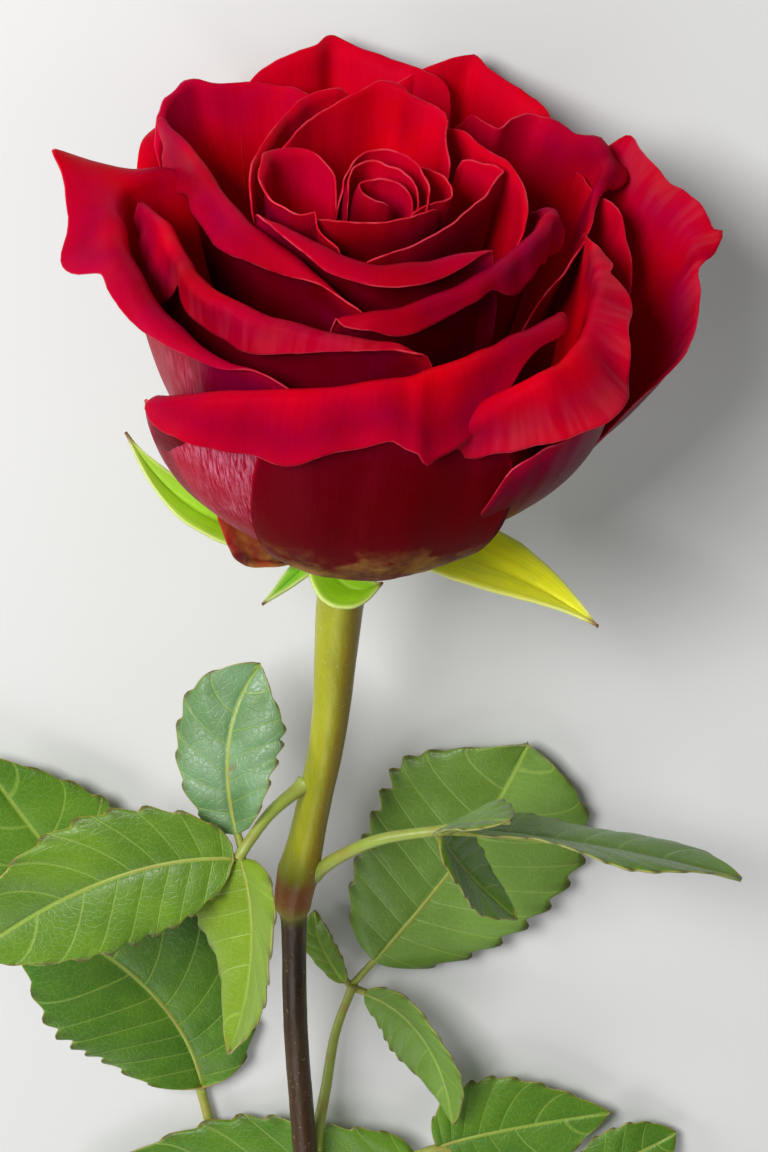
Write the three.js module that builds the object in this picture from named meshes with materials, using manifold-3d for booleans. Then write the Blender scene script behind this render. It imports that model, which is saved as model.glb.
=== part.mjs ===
// A cut red rose lying down: bloom, calyx, stem and five compound leaves.
// Millimetres, +Z up. The flower's own frame has the receptacle, where petals and stem meet, at 0, 0, 0.
// The stem runs towards -Y and the finished group stands with the middle of its underside at the origin.
import * as THREE from "three";
import { mergeVertices } from "three/addons/utils/BufferGeometryUtils.js";
import Module from "manifold-3d";

const wasm = await Module();
wasm.setup();

// Driving dimensions of the bloom
const axisRise = 14;            // degrees that the bloom's axis rises above the surface
const axisLean = 5.5;           // degrees that the bloom's axis leans to the right, seen from above
const petalThickness = 0.9;
const reachScale = 60;          // petal height that the handle lengths in the table are given for
const bladeRows = 3;            // steps from a petal's claw to its fold
const curlRows = 3;             // steps across a petal's rolled margin
const columnAngle = 15;         // degrees of rim for each step across a petal
const fewestColumns = 6;
const rolledMargin = 2;         // a petal whose margin is longer than this gets the rows of a roll
const stationGap = 0.4;         // added to the distance between two rim stations, so that none is 0
const coreProfile = [[0, 0], [6.6, 0], [8.2, 2.4], [7.4, 9], [5, 20], [2.6, 31], [0, 35]];
const coreSides = 12;

// Driving dimensions of the calyx, stem and leaves
const hipProfile = [[0, -0.4], [7.4, -0.4], [7.9, -2], [7.4, -5], [5.4, -8.4], [4.3, -11], [0, -11]];
const hipSides = 16;
const sepalThickness = 0.8;
const sepalFold = 14;           // degrees that a sepal's halves fold up
const sepalRows = 10;
const stemSides = 10;
const stemRings = 40;
const stemTopGap = 0.3;         // clearance between the stem and the calyx
const leafThickness = 0.7;
const leafSeat = 0.3;           // clearance between a leaf stalk and the stem
const stalkSides = 6;
const stalkRings = 3;           // rings between two points of a stalk
const toothDepth = 0.055;       // share of a leaflet's width
const bladeEnd = 0.985;         // share of the spine where a blade's blunt point is
const bluntHalfWidth = 0.6;     // half the width of that point
const leafTaper = 0.85;         // how hollow the taper towards a leaflet's point is
const sepalTaper = 1.1;         // the same for a sepal
const cutAngle = 40;            // degrees of the slanted cut through the stem's end
const cutReach = 3;             // the cut starts this far before the end of the stem's route
const knifeSize = 30;           // side of the blocks that cut the stem's two ends
const prickleLength = 4.6;
const prickleRadius = 1.5;
const prickleRoot = 1;          // depth that a prickle is sunk into the stem
const prickleSides = 6;
const prickleLean = 0.35;       // how far a prickle leans towards the cut end, as a slope
const routeStep = 0.002;        // share of the stem's length between two places that are tried
const mergeDistance = 1e-4;

// Each petal starts at base [radius, height], leaves it at start [degrees above level, handle length]
// and reaches its fold with top [degrees of outward lean, handle length]. Beyond the fold the margin
// rolls outwards on the curl radius. The spoon is how many degrees steeper the petal's sides leave the
// base than its middle. The rim lists [degrees round, radius, height, margin, roll degrees].
const petals = [
  {"name": "heart_core", "base": [0.8, 30], "start": [88, 10], "top": [0, 14], "curl": 1.2,
   "rim": [[-80, 2, 63.5, 0, 0], [-20, 2.2, 65, 0, 0], [50, 3, 66, 0, 0], [120, 4, 66, 0, 0],
           [190, 4.5, 65.5, 0, 0], [250, 4.6, 64, 0, 0]]},
  {"name": "heart_inner", "base": [1.6, 24], "start": [85, 12], "top": [0, 16], "curl": 1.4,
   "rim": [[-20, 4.2, 64, 0, 0], [30, 5, 66, 0, 0], [80, 6.6, 66.5, 0, 0], [130, 7.4, 66.5, 0, 0],
           [180, 6.6, 66, 0, 0], [225, 6, 64, 0, 0]]},
  {"name": "heart_left", "base": [2.2, 16], "start": [82, 16], "top": [0, 18], "curl": 1.6,
   "rim": [[30, 7, 63.5, 0, 0], [60, 9, 65, 0, 0], [95, 11.2, 65.5, 0, 0], [130, 10, 65.5, 0, 0],
           [165, 8.2, 65, 0, 0], [205, 7.6, 63.5, 0, 0], [240, 7, 61.5, 0, 0]]},
  {"name": "heart_right", "base": [2.6, 12], "start": [78, 16], "top": [0, 20], "curl": 1.6,
   "rim": [[-75, 6.2, 60.5, 0, 0], [-40, 7.2, 62.5, 0, 0], [0, 9, 64, 0, 0], [30, 10.6, 64.5, 0, 0],
           [60, 11, 64.5, 0, 0], [90, 11.6, 63, 0, 0]]},
  {"name": "inner_left", "base": [3, 8], "start": [70, 16], "top": [6, 20], "curl": 2,
   "rim": [[150, 9.4, 59, 0, 0], [141, 14.5, 61, 0, 0], [141, 19, 62, 1.5, 60], [152, 21, 62, 2, 80],
           [168, 20, 61.5, 2, 70], [182, 16.5, 61, 1.5, 60], [193, 12.5, 60.5, 1, 40],
           [200, 11, 59, 0, 0]]},
  {"name": "inner_front", "base": [3, 8], "start": [74, 16], "top": [-6, 22], "curl": 2,
   "rim": [[190, 11.5, 57.5, 0, 0], [205, 9.8, 60, 0, 0], [230, 8.4, 61, 0, 0], [265, 7.2, 61.5, 0, 0],
           [310, 7.2, 61.5, 0, 0], [345, 8.2, 61.5, 0, 0], [375, 11, 60, 0, 0], [395, 13, 58, 0, 0]]},
  {"name": "inner_back", "base": [3.4, 5], "start": [62, 18], "top": [22, 22], "curl": 2.2,
   "rim": [[150, 19, 57, 0, 0], [142, 21, 61.5, 0, 0], [128, 22.5, 63, 0, 0], [112, 25.5, 64, 0, 0],
           [98, 29.5, 64.5, 0, 0], [88, 31.5, 64.5, 0, 0], [81, 28.5, 64, 0, 0], [73, 26.5, 64, 0, 0],
           [66, 23.5, 63, 0, 0], [58, 17.5, 60, 0, 0]]},
  {"name": "inner_right", "base": [3.6, 5], "start": [62, 18], "top": [0, 22], "curl": 2.2,
   "rim": [[42, 24, 59, 0, 0], [37, 21.5, 61, 0, 0], [26, 15.2, 61, 0, 0], [6, 11.2, 60.5, 0, 0],
           [-30, 9.4, 60.2, 0, 0], [-70, 10.2, 60, 0, 0], [-100, 11.2, 59, 0, 0],
           [-125, 12, 57, 0, 0]]},
  {"name": "second_left", "base": [4, 4], "start": [56, 18], "top": [14, 22], "curl": 2.4,
   "rim": [[186, 20, 56, 0, 0], [175, 21.5, 60, 1, 30], [160, 23.5, 60.5, 2, 40],
           [148, 25, 60.5, 2, 40], [136, 27, 60.5, 2, 40], [124, 30, 61, 2, 40],
           [113, 33.5, 61.5, 2, 40], [104, 33.5, 61, 1, 30], [98, 31, 58, 0, 0]]},
  {"name": "second_right", "base": [4, 4], "start": [56, 18], "top": [10, 22], "curl": 2.4,
   "rim": [[84, 27, 59, 0, 0], [72, 26.5, 61.5, 1, 30], [58, 25.5, 61.5, 1.5, 40], [44, 25, 61, 2, 50],
           [30, 24, 60.5, 2, 50], [14, 21.8, 60, 1.5, 40], [-4, 20.5, 59, 1, 30],
           [-20, 18.5, 57, 0, 0]]},
  {"name": "front_crescent", "base": [4, 4], "start": [58, 20], "top": [-4, 24], "curl": 1.8,
   "rim": [[182, 20, 57.5, 2, 60], [196, 17.5, 60, 3, 90], [210, 14.6, 60.2, 4, 110],
           [230, 13, 60, 5, 120], [252, 12.4, 60, 6, 125], [274, 12.6, 60, 6, 125],
           [296, 12.8, 60, 5.5, 120], [316, 13.6, 60, 4.5, 110], [332, 16, 60, 3, 90],
           [343, 19.5, 59, 1.5, 60]]},
  {"name": "left_large", "base": [4.6, 3], "start": [46, 22], "top": [6, 24], "curl": 2.4,
   "rim": [[150, 34.5, 56, 0, 0], [158, 33.5, 58, 2, 60], [167, 31, 58.5, 5, 100],
           [173, 27, 58.5, 6, 112], [181, 24, 58.5, 6.5, 118], [192, 20.6, 58.5, 6, 118],
           [212, 18, 58, 4.5, 110], [236, 17.6, 57.5, 3, 90], [256, 18.6, 57, 2, 60],
           [270, 20, 55.5, 0, 0]]},
  {"name": "right_middle", "base": [4.8, 3], "start": [46, 22], "top": [4, 24], "curl": 2.6,
   "rim": [[236, 25, 56, 0, 0], [252, 22.4, 57.5, 1.5, 60], [272, 19, 58, 3, 100],
           [294, 17, 58, 5, 115], [318, 17.4, 58, 7.5, 125], [340, 19.2, 58, 9, 130],
           [360, 21.8, 58, 9, 130], [375, 24.6, 58, 7, 120], [388, 25.6, 57.5, 3, 80],
           [398, 25.5, 56, 0, 0]]},
  {"name": "back_left", "base": [5, 2.4], "start": [36, 24], "top": [24, 24], "curl": 3,
   "rim": [[166, 35, 50, 0, 0], [155, 40, 55, 1, 30], [145, 45, 56.5, 2, 50], [137, 49.5, 57, 2.5, 60],
           [129, 50, 57.5, 2, 50], [120, 48, 57.5, 1.5, 40], [112, 45, 57, 1, 30], [104, 41, 56, 0, 0],
           [98, 38, 53, 0, 0]]},
  {"name": "right_back", "base": [5, 2.4], "start": [38, 24], "top": [22, 24], "curl": 3,
   "rim": [[84, 36, 54, 0, 0], [76, 37.5, 57.5, 0.5, 20], [68, 38.5, 57.5, 1, 30],
           [61, 40.5, 57.5, 1.5, 40], [57, 46.5, 57, 2, 50], [50, 47.5, 56.5, 3, 70],
           [42, 48.5, 56, 5, 100], [36, 46, 55.5, 6, 110], [28, 41, 54.5, 4, 90],
           [16, 36.5, 52, 2, 50], [2, 34, 48, 0, 0]]},
  {"name": "middle_left", "base": [5.2, 2], "start": [34, 24], "top": [0, 26], "curl": 2.6,
   "rim": [[160, 36.5, 51, 2, 60], [167, 35.5, 53, 6, 90], [176, 33.5, 54.5, 11, 122],
           [185, 32, 54.8, 12.5, 132], [193, 30.6, 54.8, 8, 130], [206, 28.8, 55, 8.5, 132],
           [222, 27, 55, 9.5, 138], [240, 25, 55.3, 9.5, 138], [258, 23.2, 55.3, 7, 128],
           [276, 24.4, 54.5, 4, 100], [288, 27.5, 53.5, 2, 60], [298, 30, 51, 0, 0]]},
  {"name": "back_middle", "base": [5.4, 2], "start": [28, 26], "top": [28, 24], "curl": 3.2,
   "rim": [[126, 44, 50, 0, 0], [120, 46.5, 55.5, 1, 30], [112, 48, 57.3, 2, 40],
           [105, 49.5, 57.8, 2, 40], [101, 52.5, 57.8, 2, 40], [96, 49.5, 57.3, 2, 40],
           [88, 47, 57, 2, 40], [80, 46.5, 56, 1, 30], [74, 44.5, 52, 0, 0]]},
  {"name": "back_right", "base": [5.4, 2], "start": [28, 26], "top": [28, 24], "curl": 3.2,
   "rim": [[96, 42, 52, 0, 0], [88, 45, 56, 1, 30], [82, 48.5, 56.5, 2, 40], [76, 53, 56.5, 2, 40],
           [72, 51, 56, 2, 40], [65, 49, 55.5, 2, 40], [58, 48.5, 54.5, 1, 30], [50, 45, 50, 0, 0]]},
  {"name": "right_front", "base": [5.6, 1.6], "start": [26, 26], "top": [0, 26], "curl": 3,
   "rim": [[22, 33, 52, 0, 0], [10, 33.5, 55.5, 4, 80], [-3, 34.5, 55.5, 9, 120],
           [-16, 35, 55, 12, 135], [-28, 36, 54.5, 15, 140], [-40, 36.6, 54, 15, 140],
           [-52, 36, 53, 13, 135], [-64, 34.5, 51, 9, 125], [-76, 32, 48, 4, 80]]},
  {"name": "right_second", "base": [5.4, 1.8], "start": [26, 26], "top": [22, 24], "curl": 3,
   "rim": [[50, 46, 50, 0, 0], [40, 46.5, 53, 2, 40], [28, 44, 52.5, 2, 40], [16, 42.5, 51, 2, 40],
           [4, 40.5, 47, 1, 30], [-8, 38, 42, 0, 0]]},
  {"name": "left_outer", "base": [5.8, 1.4], "start": [26, 26], "top": [10, 25], "curl": 3.2,
   "rim": [[152, 36, 52, 17, 78], [157, 39, 53, 20, 80], [165, 42, 53.5, 14, 92],
           [174, 41.5, 53.5, 12, 104], [182, 40, 53, 13, 114], [190, 38.5, 52.5, 10, 120],
           [202, 37, 51.5, 8, 125], [216, 36, 50.5, 8, 130], [230, 34.5, 49.5, 7, 130],
           [244, 32, 47.5, 5, 110], [256, 29, 45, 0, 0]]},
  {"name": "right_outer", "base": [5.8, 1.4], "start": [26, 26], "top": [24, 25], "curl": 3.4,
   "rim": [[56, 48, 49, 0, 0], [47, 51.5, 54, 3, 60], [37, 52, 54, 4, 70], [28, 52.5, 53.5, 4, 70],
           [19, 53, 52.5, 5, 70], [10, 49, 50, 5, 80], [0, 47, 45.5, 4, 80], [-10, 44.5, 40.5, 2, 60],
           [-20, 41.5, 34.5, 0, 0]]},
  {"name": "front_outer", "base": [6.2, 1], "start": [12, 29], "top": [-4, 25], "curl": 3.2, "spoon": 26,
   "rim": [[216, 37, 39, 5, 70], [225, 39, 43.5, 9, 112], [236, 37, 47.5, 14, 146],
           [248, 34.8, 49, 17, 154], [262, 31.6, 50, 18, 156], [276, 29.2, 51, 15.5, 154],
           [288, 28, 51.5, 18, 154], [302, 27, 52, 22, 154], [316, 27, 52.5, 18, 150],
           [330, 28.2, 52.8, 12, 140], [342, 30, 52, 5, 110], [350, 31, 50, 0, 0]]},
  {"name": "bottom_left", "base": [6.4, 0.6], "start": [26, 25], "top": [4, 22], "curl": 3, "spoon": 4,
   "rim": [[192, 31, 20, 0, 0], [199, 35, 29, 1, 30], [208, 39, 36.5, 2, 40], [218, 41, 40.5, 2, 40],
           [228, 41, 42, 2, 40], [240, 39, 40, 1, 30], [252, 37, 36, 0, 0], [258, 35, 31, 0, 0]]},
  {"name": "bottom_right", "base": [6.4, 0.6], "start": [20, 27], "top": [8, 24], "curl": 3, "spoon": 8,
   "rim": [[-66, 36, 34, 0, 0], [-54, 40, 41, 1, 30], [-40, 42, 43, 2, 50], [-26, 41, 40, 2, 50],
           [-14, 37.5, 33, 1, 30], [-4, 33, 25, 0, 0]]},
  {"name": "guard_right", "base": [6.6, 0.4], "start": [6, 30], "top": [34, 20], "curl": 3.4, "spoon": 14,
   "rim": [[92, 46, 34, 0, 0], [82, 50, 42, 4, 60], [70, 53, 45, 7, 90], [58, 54, 45, 7, 90],
           [46, 53, 43, 5, 80], [36, 50, 36, 0, 0], [28, 46, 28, 0, 0]]},
  {"name": "guard_left", "base": [6.6, 0.4], "start": [6, 30], "top": [34, 20], "curl": 3.4, "spoon": 14,
   "rim": [[88, 45, 33, 0, 0], [98, 50, 42, 4, 60], [110, 53, 45, 7, 90], [122, 54, 45, 7, 90],
           [134, 53, 43, 5, 80], [144, 50, 36, 0, 0], [152, 46, 28, 0, 0]]},
  {"name": "bottom_centre", "base": [6.6, 0.2], "start": [10, 28], "top": [-4, 24], "curl": 3, "spoon": 24,
   "rim": [[238, 32, 26, 0, 0], [241, 35.5, 36, 0, 0], [252, 36.5, 43, 0, 0], [266, 34.5, 45, 0, 0],
           [280, 33, 46, 0, 0], [296, 33.5, 44, 0, 0], [308, 35, 41, 0, 0], [315, 35, 35, 0, 0],
           [319, 33, 27, 0, 0]]},
  {"name": "small_outer", "base": [6.6, 0.2], "start": [10, 28], "top": [60, 16], "curl": 2,
   "rim": [[202, 19, 9, 0, 0], [208, 22, 9, 1, 50], [217, 24, 8, 2, 80], [229, 23, 6, 2, 80],
           [241, 20, 5, 1, 60], [252, 16, 5, 0, 0]]},
];

// A blade is a leaflet or a sepal: spine [root, bend, tip], the direction that its upper face looks in,
// its width, the share of its length where it is widest, the share at its foot that is a bare little
// stalk, the degrees that its halves fold up, and teeth.
const sepals = [
  {"spine": [[-5, 0, -2.5], [-26, -6, -5], [-39, 8, 8]], "face": [0.3, 0.3, 1], "width": 10, "widest": 0.4},
  {"spine": [[4, -1, -2.5], [24, 4, -7], [42, -10, -10]], "face": [0.2, -0.3, 1], "width": 12, "widest": 0.4},
  {"spine": [[-1, -3, -2.5], [-3, -20, -10], [5, -19, 1]], "face": [0, -0.3, 1], "width": 12, "widest": 0.4},
  {"spine": [[-3, -2, -2.5], [-8, -9, -4], [-14, -14, -8]], "face": [0, 0, 1], "width": 5, "widest": 0.4},
  {"spine": [[1, 3, -2.5], [4, 22, -6], [8, 34, -9]], "face": [0, 0, 1], "width": 10, "widest": 0.4},
];

// The stem's route from the receptacle to the cut end, with its radius at each point.
const stemRoute = [
  [0, 0, 0, 4.2], [-2.4, -17, -4.1, 3.9], [-4.6, -45, -10.5, 3.1], [-8, -66, -15, 3.1],
  [-10.4, -79, -17.6, 3.6], [-11.6, -86, -19, 3.5], [-11.7, -93, -20.3, 2.4], [-11.8, -120, -25.2, 2.3],
  [-10.6, -150, -30.1, 2.4], [-8.6, -192, -35.8, 2.5], [-6, -236, -40.6, 2.6],
];
const prickles = [[-163, 200], [-181, 20], [-197, 130], [-212, 310], [-224, 70]];

// Each leaf has a stalk of points with a root and an end radius, and leaflets as blades. A leaflet's
// spine starts on its stalk, at the share of the stalk's length that "at" gives.
const leaves = [
  {"name": "leaf_left", "color": 0x5f8f22,
   "stalk": [[-9.2, -58.6, -12.8], [-15, -61.5, -8], [-18.6, -65, -4.5], [-20.8, -68, -3]],
   "radius": [1.3, 0.9],
   "leaflets": [
     {"at": 1, "bend": [-43.6, -63.6, 2], "tip": [-71.6, -90.7, -3], "face": [0.04, 0.2, 0.98],
      "width": 26.8, "widest": 0.49, "foot": 0.02, "fold": 12, "teeth": 10},
     {"at": 0.93, "bend": [-28.4, -48.2, -10.8], "tip": [-10.4, -44, -20.5], "face": [-0.24, 0.21, 0.95],
      "width": 20.4, "widest": 0.59, "foot": 0.08, "fold": 8, "teeth": 7},
     {"at": 0.97, "bend": [-15.5, -82, 4], "tip": [-23, -110.8, -4.3], "face": [-0.65, 0.55, 0.52],
      "width": 17.6, "widest": 0.37, "foot": 0.02, "fold": 24, "teeth": 8},
   ]},
  {"name": "leaf_right", "color": 0x5f8f22,
   "stalk": [[-7.8, -80, -17], [-2.4, -73.5, -13], [5, -68.5, -10.5], [17, -65.6, -9]],
   "radius": [1.3, 0.9],
   "leaflets": [
     {"at": 1, "bend": [42.5, -69.7, -13], "tip": [69.1, -75.9, -8.6], "face": [-0.12, 0.95, -0.29],
      "width": 28, "widest": 0.59, "foot": 0.05, "fold": 10, "teeth": 10},
     {"at": 0.92, "bend": [18.4, -78, -15.1], "tip": [29.3, -92, -20.1], "face": [0.96, 0.12, 0.26],
      "width": 13.2, "widest": 0.45, "foot": 0.08, "fold": 14, "teeth": 7},
     {"at": 0.92, "bend": [20.9, -58.9, -1.6], "tip": [26.7, -54.7, 6.4], "face": [-0.2, 0.97, -0.11],
      "width": 13.9, "widest": 0.47, "foot": 0.08, "fold": 14, "teeth": 7},
   ]},
  {"name": "leaf_right_low", "color": 0x648c46,
   "stalk": [[-8.8, -153, -31.6], [-6.5, -142, -36], [-4.5, -130, -38], [-1, -119, -38.5]],
   "radius": [1.2, 0.8],
   "leaflets": [
     {"at": 1, "bend": [25.3, -86.1, -39.5], "tip": [31.8, -65.5, -39.5], "face": [0, 0, 1],
      "width": 43, "widest": 0.61, "foot": 0.08, "fold": 7, "teeth": 11},
     {"at": 0.97, "bend": [15.3, -121.9, -33.5], "tip": [18.7, -147, -31.5], "face": [-0.69, 0.02, 0.73],
      "width": 16.5, "widest": 0.56, "foot": 0.08, "fold": 18, "teeth": 8},
     {"at": 0.97, "bend": [-8.9, -110.4, -39], "tip": [-8.4, -103.5, -40.8], "face": [-0.27, -0.29, 0.92],
      "width": 7.5, "widest": 0.5, "foot": 0.08, "fold": 10, "teeth": 6},
   ]},
  {"name": "leaf_left_low", "color": 0x4f8a1c,
   "stalk": [[-11.2, -188, -35.8], [-17, -186, -39.5], [-24, -178, -41.4], [-28, -166, -41.5],
             [-30.7, -149.1, -41.2], [-36, -128, -41.4], [-44, -109, -41.6]],
   "radius": [1.2, 0.8],
   "leaflets": [
     {"at": 1, "bend": [-54, -94.7, -34.5], "tip": [-70.5, -67.2, -37.5], "face": [0.07, 0.14, 0.99],
      "width": 33.6, "widest": 0.46, "foot": 0.08, "fold": 7, "teeth": 9},
     {"at": 0.53, "bend": [-31.4, -115.3, -35], "tip": [-67.7, -96.7, -34], "face": [0.14, 0.08, 0.99],
      "width": 39.1, "widest": 0.56, "foot": 0.08, "fold": 8, "teeth": 10},
   ]},
  {"name": "leaf_base", "color": 0x5d8a45,
   "stalk": [[-7.4, -180, -32.6], [-2, -173, -31], [6, -164, -32], [14.5, -156, -35], [27, -160, -36.5],
             [40, -165.3, -36.8]],
   "radius": [1.2, 0.8],
   "leaflets": [
     {"at": 1, "bend": [54.9, -160.1, -37.5], "tip": [63.2, -155.7, -40.5], "face": [-0.18, 0.06, 0.98],
      "width": 15.9, "widest": 0.54, "foot": 0.08, "fold": 8, "teeth": 6},
     {"at": 0.547, "bend": [19.6, -152.9, -35.5], "tip": [49.8, -149.7, -39], "face": [-0.06, 0.13, 0.99],
      "width": 25.5, "widest": 0.51, "foot": 0.08, "fold": 8, "teeth": 9},
     {"at": 0.547, "bend": [-6.8, -167.4, -37.8], "tip": [-57.2, -167.2, -40], "face": [0, 0, 1],
      "width": 30, "widest": 0.58, "foot": 0.08, "fold": 4, "teeth": 10},
   ]},
];

// Materials
const petalRed = new THREE.MeshStandardMaterial({ color: 0xb3001c, roughness: 0.55, metalness: 0 });
const calyxGreen = new THREE.MeshStandardMaterial({ color: 0x8fa32a, roughness: 0.6, metalness: 0 });
const stemGreen = new THREE.MeshStandardMaterial({ color: 0x8f9a35, roughness: 0.5, metalness: 0 });

const radians = THREE.MathUtils.degToRad;
const vector = (list) => new THREE.Vector3(list[0], list[1], list[2]);

// The bloom's own directions: right, back (towards the surface) and up along its axis
const bloomUp = new THREE.Vector3(
  Math.sin(radians(axisLean)) * Math.cos(radians(axisRise)),
  Math.cos(radians(axisLean)) * Math.cos(radians(axisRise)),
  Math.sin(radians(axisRise)));
const bloomRight = new THREE.Vector3(Math.cos(radians(axisLean)), -Math.sin(radians(axisLean)), 0);
const bloomBack = new THREE.Vector3().crossVectors(bloomUp, bloomRight);
const bloomFrame = new THREE.Matrix4().makeBasis(bloomRight, bloomBack, bloomUp);

// A closed sheet of even thickness round a surface: place(u, v) gives its middle, u and v from 0 to 1.
// Both faces are split into triangles alike.
function closedSheet(columns, rows, thickness, place) {
  const middle = [];
  for (let i = 0; i <= columns; i += 1) {
    const line = [];
    for (let j = 0; j <= rows; j += 1) line.push(place(i / columns, j / rows, i, j));
    middle.push(line);
  }
  const at = (i, j) => middle[Math.min(Math.max(i, 0), columns)][Math.min(Math.max(j, 0), rows)];
  const positions = [];
  for (const side of [0.5, -0.5]) {
    for (let i = 0; i <= columns; i += 1) {
      for (let j = 0; j <= rows; j += 1) {
        const across = new THREE.Vector3().subVectors(at(i + 1, j), at(i - 1, j));
        const along = new THREE.Vector3().subVectors(at(i, j + 1), at(i, j - 1));
        const normal = across.cross(along).normalize();
        const point = at(i, j).clone().addScaledVector(normal, side * thickness);
        positions.push(point.x, point.y, point.z);
      }
    }
  }
  const layer = (columns + 1) * (rows + 1);
  const index = [];
  const id = (side, i, j) => side * layer + i * (rows + 1) + j;
  for (let i = 0; i < columns; i += 1) {
    for (let j = 0; j < rows; j += 1) {
      const [a, b, c, d] = [id(0, i, j), id(0, i + 1, j), id(0, i + 1, j + 1), id(0, i, j + 1)];
      index.push(a, b, c, a, c, d);
      index.push(a + layer, c + layer, b + layer, a + layer, d + layer, c + layer);
    }
  }
  const wall = (p, q) => index.push(p, p + layer, q + layer, p, q + layer, q);
  for (let i = 0; i < columns; i += 1) {
    wall(id(0, i, 0), id(0, i + 1, 0));
    wall(id(0, i + 1, rows), id(0, i, rows));
  }
  for (let j = 0; j < rows; j += 1) {
    wall(id(0, 0, j + 1), id(0, 0, j));
    wall(id(0, columns, j), id(0, columns, j + 1));
  }
  const geometry = new THREE.BufferGeometry();
  geometry.setAttribute("position", new THREE.Float32BufferAttribute(positions, 3));
  geometry.setIndex(index);
  return geometry;
}

// A round solid along a curve, its radius given by radiusAt(share of the length).
function taperedRod(curve, sides, rings, radiusAt) {
  const geometry = new THREE.CylinderGeometry(1, 1, 1, sides, rings);
  const frames = curve.computeFrenetFrames(rings, false);
  const points = curve.getSpacedPoints(rings);
  const position = geometry.attributes.position;
  for (let k = 0; k < position.count; k += 1) {
    const ring = Math.round((0.5 - position.getY(k)) * rings);
    const radius = radiusAt(ring / rings);
    const point = points[ring].clone();
    point.addScaledVector(frames.normals[ring], position.getX(k) * radius);
    point.addScaledVector(frames.binormals[ring], position.getZ(k) * radius);
    position.setXYZ(k, point.x, point.y, point.z);
  }
  return geometry;
}

// A closed geometry as a solid that can be joined or cut, turned right side out where it needs it.
function toSolid(geometry) {
  const bare = geometry.clone();
  bare.deleteAttribute("normal");
  bare.deleteAttribute("uv");
  const merged = mergeVertices(bare, mergeDistance);
  const build = (triVerts) => new wasm.Manifold(new wasm.Mesh({
    numProp: 3, vertProperties: new Float32Array(merged.attributes.position.array), triVerts }));
  const corners = new Uint32Array(merged.index.array);
  const whole = [];
  for (let k = 0; k < corners.length; k += 3) {
    const [a, b, c] = corners.slice(k, k + 3);
    if (a !== b && b !== c && a !== c) whole.push(a, b, c);
  }
  const solid = build(new Uint32Array(whole));
  return solid.volume() > 0 ? solid : build(new Uint32Array(whole.reverse()));
}

function fuse(geometries) {
  return geometries.map(toSolid).reduce((all, one) => all.add(one));
}

// The largest shell alone: a hollow that joining has sealed is filled and a loose scrap is dropped.
function largestShell(solid) {
  return solid.decompose().reduce((largest, shell) => (shell.volume() > largest.volume() ? shell : largest));
}

function toMesh(name, solid, material) {
  const data = solid.getMesh();
  const geometry = new THREE.BufferGeometry();
  geometry.setAttribute("position", new THREE.Float32BufferAttribute(data.vertProperties, 3));
  geometry.setIndex(new THREE.Uint32BufferAttribute(data.triVerts, 1));
  geometry.computeVertexNormals();
  const mesh = new THREE.Mesh(geometry, material);
  mesh.name = name;
  return mesh;
}

// A value list on a smooth curve through a petal's rim stations, u from 0 to 1 by distance.
function rimAt(stations, u) {
  const flat = ([angle, radius, height]) => new THREE.Vector3(
    radius * Math.cos(radians(angle)), radius * Math.sin(radians(angle)), height);
  const mark = [0];
  for (let i = 1; i < stations.length; i += 1) {
    mark.push(mark[i - 1] + flat(stations[i]).distanceTo(flat(stations[i - 1])) + stationGap);
  }
  const place = mark.map((m) => m / mark[mark.length - 1]);
  const last = stations.length - 1;
  let i = 0;
  while (i < last - 1 && place[i + 1] < u) i += 1;
  const slope = (k, channel) => {
    const [low, high] = [Math.max(k - 1, 0), Math.min(k + 1, last)];
    return (stations[high][channel] - stations[low][channel]) / (place[high] - place[low]);
  };
  const width = place[i + 1] - place[i];
  const s = (u - place[i]) / width;
  return stations[i].map((value, channel) => (2 * s ** 3 - 3 * s ** 2 + 1) * value
    + (s ** 3 - 2 * s ** 2 + s) * width * slope(i, channel)
    + (3 * s ** 2 - 2 * s ** 3) * stations[i + 1][channel]
    + (s ** 3 - s ** 2) * width * slope(i + 1, channel));
}

// A point of a petal: v from 0 to 1 runs up the blade to the fold, and from 1 to 2 over the rolled margin.
function petalPoint(petal, u, v) {
  const [angle, radius, height, margin, roll] = rimAt(petal.rim, u);
  const [startRadius, startHeight] = petal.base;
  const reach = Math.hypot(radius - startRadius, height - startHeight) / reachScale;
  const rise = radians(petal.start[0] + (petal.spoon || 0) * (2 * u - 1) ** 2);
  const lean = radians(petal.top[0]);
  const first = petal.start[1] * reach;
  const second = petal.top[1] * reach;
  const t = Math.min(v, 1);
  const weights = [(1 - t) ** 3, 3 * (1 - t) ** 2 * t, 3 * (1 - t) * t ** 2, t ** 3];
  const foot = [startRadius + first * Math.cos(rise), startHeight + first * Math.sin(rise)];
  const head = [radius - second * Math.sin(lean), height - second * Math.cos(lean)];
  const radii = [startRadius, foot[0], head[0], radius];
  const heights = [startHeight, foot[1], head[1], height];
  let r = weights.reduce((sum, w, k) => sum + w * radii[k], 0);
  let h = weights.reduce((sum, w, k) => sum + w * heights[k], 0);
  const length = Math.max(margin, 0);
  if (v > 1 && length > 0) {
    const turn = Math.max(radians(roll), 1e-3);
    const bend = Math.min(petal.curl, length / turn);
    const along = (v - 1) * length;
    const curved = Math.min(along, bend * turn);
    const direction = lean + curved / bend;
    r += bend * (Math.cos(lean) - Math.cos(direction)) + (along - curved) * Math.sin(direction);
    h += bend * (Math.sin(direction) - Math.sin(lean)) + (along - curved) * Math.cos(direction);
  }
  return new THREE.Vector3(r * Math.cos(radians(angle)), r * Math.sin(radians(angle)), h);
}

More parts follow.
